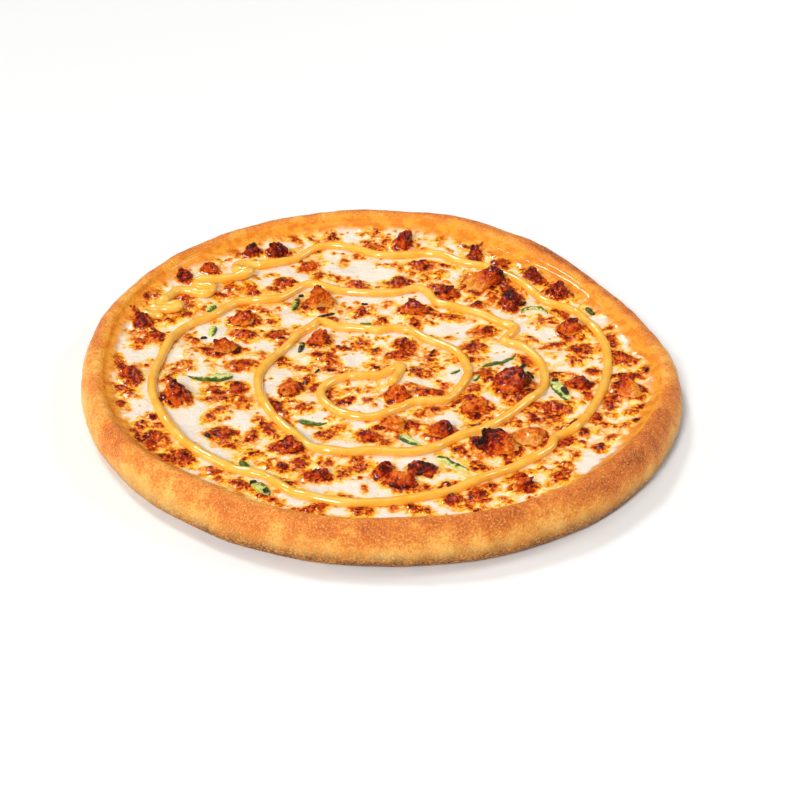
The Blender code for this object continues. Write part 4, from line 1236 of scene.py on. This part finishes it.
def build_sauce(settings):
    """The spiral bead of thick sauce, coiled at its outer end."""
    route = [Vector((*SAUCE_TAIL_TIP, 0.0))]
    angle = SAUCE_START
    while angle < SAUCE_COILS_START:
        place = sauce_point(angle)
        route.append(Vector((place.x, place.y, 0.0)))
        step_length = (place - sauce_point(angle + 1.0)).length
        angle += min(max(SAUCE_POINT_GAP / step_length, 1.0), SAUCE_STEP)
    first_coil = len(smooth_row(route, SAUCE_PATH_STEP))
    route += [Vector(point) for point in SAUCE_COILS]
    path = smooth_row(route, SAUCE_PATH_STEP)
    surface = cheese_surface()
    level = np.array([surface.at(point.x, point.y) for point in path])
    padded = np.pad(level, SAUCE_LEVEL_REACH, mode="edge")
    kernel = np.hanning(2 * SAUCE_LEVEL_REACH + 3)[1:-1]
    level = np.convolve(padded, kernel / kernel.sum(), mode="valid")
    spots = [Vector((p.x, p.y, z + settings.lift + p.z)) for p, z in zip(path, level)]
    sides = settings.sides
    points = []
    travelled = 0.0
    count = len(spots)
    for index, spot in enumerate(spots):
        before, after = spots[max(index - 1, 0)], spots[min(index + 1, count - 1)]
        if index:
            travelled += (spot - spots[index - 1]).length
        along = (after - before).normalized()
        aside = along.cross(Vector((0.0, 0.0, 1.0))).normalized()
        upward = aside.cross(along)
        thick = settings.bead * (
            1.0 + 0.15 * noise.noise(Vector((travelled / 8.0, 0.0, 0.0)))
            + 0.08 * noise.noise(Vector((travelled / 3.0, 7.0, 0.0))))
        coiled = min(max(index - first_coil, 0) / SAUCE_COIL_FADE, 1.0)
        thick *= 1.0 + coiled * (0.16 + 0.25 * noise.noise(Vector((travelled / 5.0, 3.0, 0.0))))
        left = min(index, count - 1 - index)
        thick *= min(1.0, ((left + 0.35) / 3.0) ** 0.5)
        for side in range(sides):
            turn = 2.0 * pi * side / sides
            wide, high = 1.06 * thick * cos(turn), 0.94 * thick * sin(turn)
            points.append(tuple(spot + aside * wide + upward * high))
    made = mesh_from("sauce_spiral", points, ring_faces(count, sides), sauce_finish(settings))
    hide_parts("cheese")


def pepper_strip(place, look, number, thickness, raised):
    """Points, faces, paleness and char of one bent strip that lies in the cheese."""
    x, y, length, width, bend, turn = place
    pale, char, thicker_end, wideness = look
    surface = cheese_surface()
    radius = length / radians(bend)
    cosine, sine = cos(radians(turn)), sin(radians(turn))
    points, flesh, chars = [], [], []
    for step in range(PEPPER_STEPS + 1):
        share = step / PEPPER_STEPS - 0.5
        narrow = (1.0 - PEPPER_POINT * abs(2.0 * share) ** 3) * (0.9 + thicker_end * share)
        narrow *= min(1.0, ((0.5 - abs(share)) * PEPPER_STEPS / 2.5 + 0.12) ** 0.5)
        spin = share * radians(bend)
        bow = 0.25 * thickness * noise.noise(Vector((step / 7.0, 3.0 * number, 0.0)))
        ragged = noise.noise(Vector((step / 3.0, 5.0 * number, 1.0)))
        for side in range(PEPPER_SIDES):
            round_turn = 2.0 * pi * (side + 0.5) / PEPPER_SIDES
            wide, high = cos(round_turn), sin(round_turn)
            square = max(abs(wide), abs(high)) ** -0.8
            off = 0.5 * width * wideness * narrow * wide * square
            off *= 1.0 + 0.25 * noise.noise(Vector((step / 4.0, wide, number)))
            flat_x = (radius - off) * sin(spin)
            flat_y = radius - (radius - off) * cos(spin)
            place_x = x + flat_x * cosine - flat_y * sine
            place_y = y + flat_x * sine + flat_y * cosine
            thick = 0.5 * thickness * (0.35 + 0.65 * narrow)
            place_z = surface.at(place_x, place_y) + raised
            place_z += thick * (1.0 + high * square) + bow
            points.append((place_x, place_y, place_z))
            inner = wide * (1 if bend > 0 else -1)
            flesh.append(pale * (0.80 + 0.60 * inner) + 0.15 * ragged)
            chars.append(char * (1.0 + 0.8 * noise.noise(Vector((step / 4.0, number, 2.0)))))
    faces = [face[::-1] for face in ring_faces(PEPPER_STEPS + 1, PEPPER_SIDES)]
    return points, faces, flesh, chars


def build_pepper(settings):
    """Every slice of green pepper, each in its own solid's place, and the small flecks."""
    finish = pepper_finish(settings)
    for number, (place, look) in enumerate(zip(PEPPER_SLICES, PEPPER_LOOKS), 1):
        points, faces, flesh, chars = pepper_strip(
            place, look, number, PEPPER_THICKNESS, -PEPPER_SINK)
        made = mesh_from(f"pepper_slice_{number:02d}", points, faces, finish,
                         {"flesh": flesh, "char": chars})
        made.data.set_sharp_from_angle(angle=PEPPER_SHARP_EDGE)
        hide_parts(f"pepper_{number:02d}")
    flecks = Heap("flesh", "char")
    for number, (*place, pale, char, lift) in enumerate(FLECKS, 1):
        flecks.add(*pepper_strip(place, (pale, char, 0.0, 1.0), FIRST_FLECK_SEED + number,
                                 FLECK_THICKNESS, lift - FLECK_SINK))
    made = mesh_from("pepper_flecks", flecks.points, flecks.faces, finish,
                     flecks.values)
    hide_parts("cheese")


def aim_light(lamp, place):
    """Put a light at its place, facing the middle of the pizza."""
    made = bpy.data.objects.new(lamp.name, lamp)
    made.location = place
    made.rotation_euler = (-Vector(place)).to_track_quat("-Z", "Y").to_euler()
    bpy.context.scene.collection.objects.link(made)


def near_light(name, size, strength, place):
    """A square soft light near the pizza."""
    lamp = bpy.data.lights.new(name, "AREA")
    lamp.shape = "SQUARE"
    lamp.size = size
    lamp.energy = strength
    aim_light(lamp, place)


def far_light(name, spread, strength, place):
    """A soft light from far off, which lights the whole floor evenly."""
    lamp = bpy.data.lights.new(name, "SUN")
    lamp.angle = radians(spread)
    lamp.energy = strength
    aim_light(lamp, place)


def build_stage(settings):
    """Pale floor, even sky, soft lights and the camera."""
    scene = bpy.context.scene
    mesh = bpy.data.meshes.new("floor")
    corners = [(x * FLOOR_HALF, y * FLOOR_HALF, -FLOOR_DROP)
               for x, y in ((-1, -1), (1, -1), (1, 1), (-1, 1))]
    mesh.from_pydata(corners, [], [(0, 1, 2, 3)])
    finish = Finish("Pale floor")
    mesh.materials.append(finish.end(Base_Color=tuple(settings.floor), Roughness=0.7))
    floor = bpy.data.objects.new("floor", mesh)
    scene.collection.objects.link(floor)

    world = bpy.data.worlds.new("soft sky")
    world.use_nodes = True
    nodes = world.node_tree.nodes
    links = world.node_tree.links
    lighting = nodes["Background"]
    backdrop = nodes.new("ShaderNodeBackground")
    for shade, strength in ((lighting, settings.sky), (backdrop, settings.backdrop)):
        shade.inputs["Color"].default_value = (1.0, 1.0, 1.0, 1.0)
        shade.inputs["Strength"].default_value = strength
    # What shows beyond the floor's far edge is as pale as the floor, and lights nothing
    kind_of_ray = nodes.new("ShaderNodeLightPath")
    either = nodes.new("ShaderNodeMixShader")
    links.new(kind_of_ray.outputs["Is Camera Ray"], either.inputs[0])
    links.new(lighting.outputs[0], either.inputs[1])
    links.new(backdrop.outputs[0], either.inputs[2])
    links.new(either.outputs[0], nodes["World Output"].inputs["Surface"])
    scene.world = world
    for light in FAR_LIGHTS:
        far_light(*light)
    for light in NEAR_LIGHTS:
        near_light(*light)

    lens = bpy.data.cameras.new("camera")
    lens.lens = settings.lens
    lens.sensor_fit = "HORIZONTAL"
    camera = bpy.data.objects.new("camera", lens)
    down = settings.tilt_down
    ahead = Vector((0.0, cos(down), -sin(down)))
    above = Vector((0.0, sin(down), cos(down)))
    level = Vector((1.0, 0.0, 0.0))
    right = cos(settings.roll) * level + sin(settings.roll) * above
    upward = cos(settings.roll) * above - sin(settings.roll) * level
    camera.matrix_world = Matrix.Translation(settings.camera_place) @ Matrix(
        (right, upward, -ahead)).transposed().to_4x4()
    scene.collection.objects.link(camera)
    scene.camera = camera
    scene.view_settings.view_transform = "Standard"


class PIZZA_OT_stage(bpy.types.Operator):
    """Make the floor, the lights and the camera"""

    bl_idname = "pizza.stage"
    bl_label = "Stage"

    def execute(self, context):
        build_stage(context.scene.pizza_stage)
        return {"FINISHED"}


class PIZZA_OT_crust(bpy.types.Operator):
    """Make the rolled, browned crust"""

    bl_idname = "pizza.crust"
    bl_label = "Crust"

    def execute(self, context):
        build_crust(context.scene.pizza_crust)
        return {"FINISHED"}


class PIZZA_OT_cheese(bpy.types.Operator):
    """Make the melted cheese with its blisters"""

    bl_idname = "pizza.cheese"
    bl_label = "Cheese"

    def execute(self, context):
        build_cheese(context.scene.pizza_cheese)
        return {"FINISHED"}


class PIZZA_OT_sauce(bpy.types.Operator):
    """Make the spiral of thick sauce"""

    bl_idname = "pizza.sauce"
    bl_label = "Sauce"

    def execute(self, context):
        build_sauce(context.scene.pizza_sauce)
        return {"FINISHED"}


class PIZZA_OT_chicken(bpy.types.Operator):
    """Make the pieces of browned chicken"""

    bl_idname = "pizza.chicken"
    bl_label = "Chicken"

    def execute(self, context):
        build_chicken(context.scene.pizza_toppings)
        return {"FINISHED"}


class PIZZA_OT_bits(bpy.types.Operator):
    """Make the small browned bits in the cheese"""

    bl_idname = "pizza.bits"
    bl_label = "Browned bits"

    def execute(self, context):
        build_browned_bits(context.scene.pizza_toppings)
        return {"FINISHED"}


class PIZZA_OT_pepper(bpy.types.Operator):
    """Make the slices of green pepper"""

    bl_idname = "pizza.pepper"
    bl_label = "Pepper"

    def execute(self, context):
        build_pepper(context.scene.pizza_toppings)
        return {"FINISHED"}


OPERATORS = (
    PIZZA_OT_stage, PIZZA_OT_crust, PIZZA_OT_cheese, PIZZA_OT_sauce,
    PIZZA_OT_bits, PIZZA_OT_chicken, PIZZA_OT_pepper,
)
SETTINGS = (
    ("pizza_crust", CrustSettings), ("pizza_cheese", CheeseSettings),
    ("pizza_sauce", SauceSettings), ("pizza_toppings", ToppingSettings),
    ("pizza_stage", StageSettings),
)


class PIZZA_PT_panel(bpy.types.Panel):
    """Settings and operators of the pizza"""

    bl_idname = "PIZZA_PT_panel"
    bl_label = "Cheese pizza"
    bl_space_type = "VIEW_3D"
    bl_region_type = "UI"
    bl_category = "Pizza"

    def draw(self, context):
        for name, group in SETTINGS:
            box = self.layout.box()
            settings = getattr(context.scene, name)
            for label in group.__annotations__:
                box.prop(settings, label)
        for operator in OPERATORS:
            self.layout.operator(operator.bl_idname)


def register():
    for name, group in SETTINGS:
        bpy.utils.register_class(group)
        setattr(bpy.types.Scene, name, PointerProperty(type=group))
    for operator in OPERATORS:
        bpy.utils.register_class(operator)
    bpy.utils.register_class(PIZZA_PT_panel)


def unregister():
    bpy.utils.unregister_class(PIZZA_PT_panel)
    for operator in reversed(OPERATORS):
        bpy.utils.unregister_class(operator)
    for name, group in reversed(SETTINGS):
        delattr(bpy.types.Scene, name)
        bpy.utils.unregister_class(group)


def main():
    register()
    bpy.ops.pizza.stage()
    bpy.ops.pizza.crust()
    bpy.ops.pizza.cheese()
    bpy.ops.pizza.sauce()
    bpy.ops.pizza.bits()
    bpy.ops.pizza.chicken()
    bpy.ops.pizza.pepper()


if __name__ == "__main__":
    main()
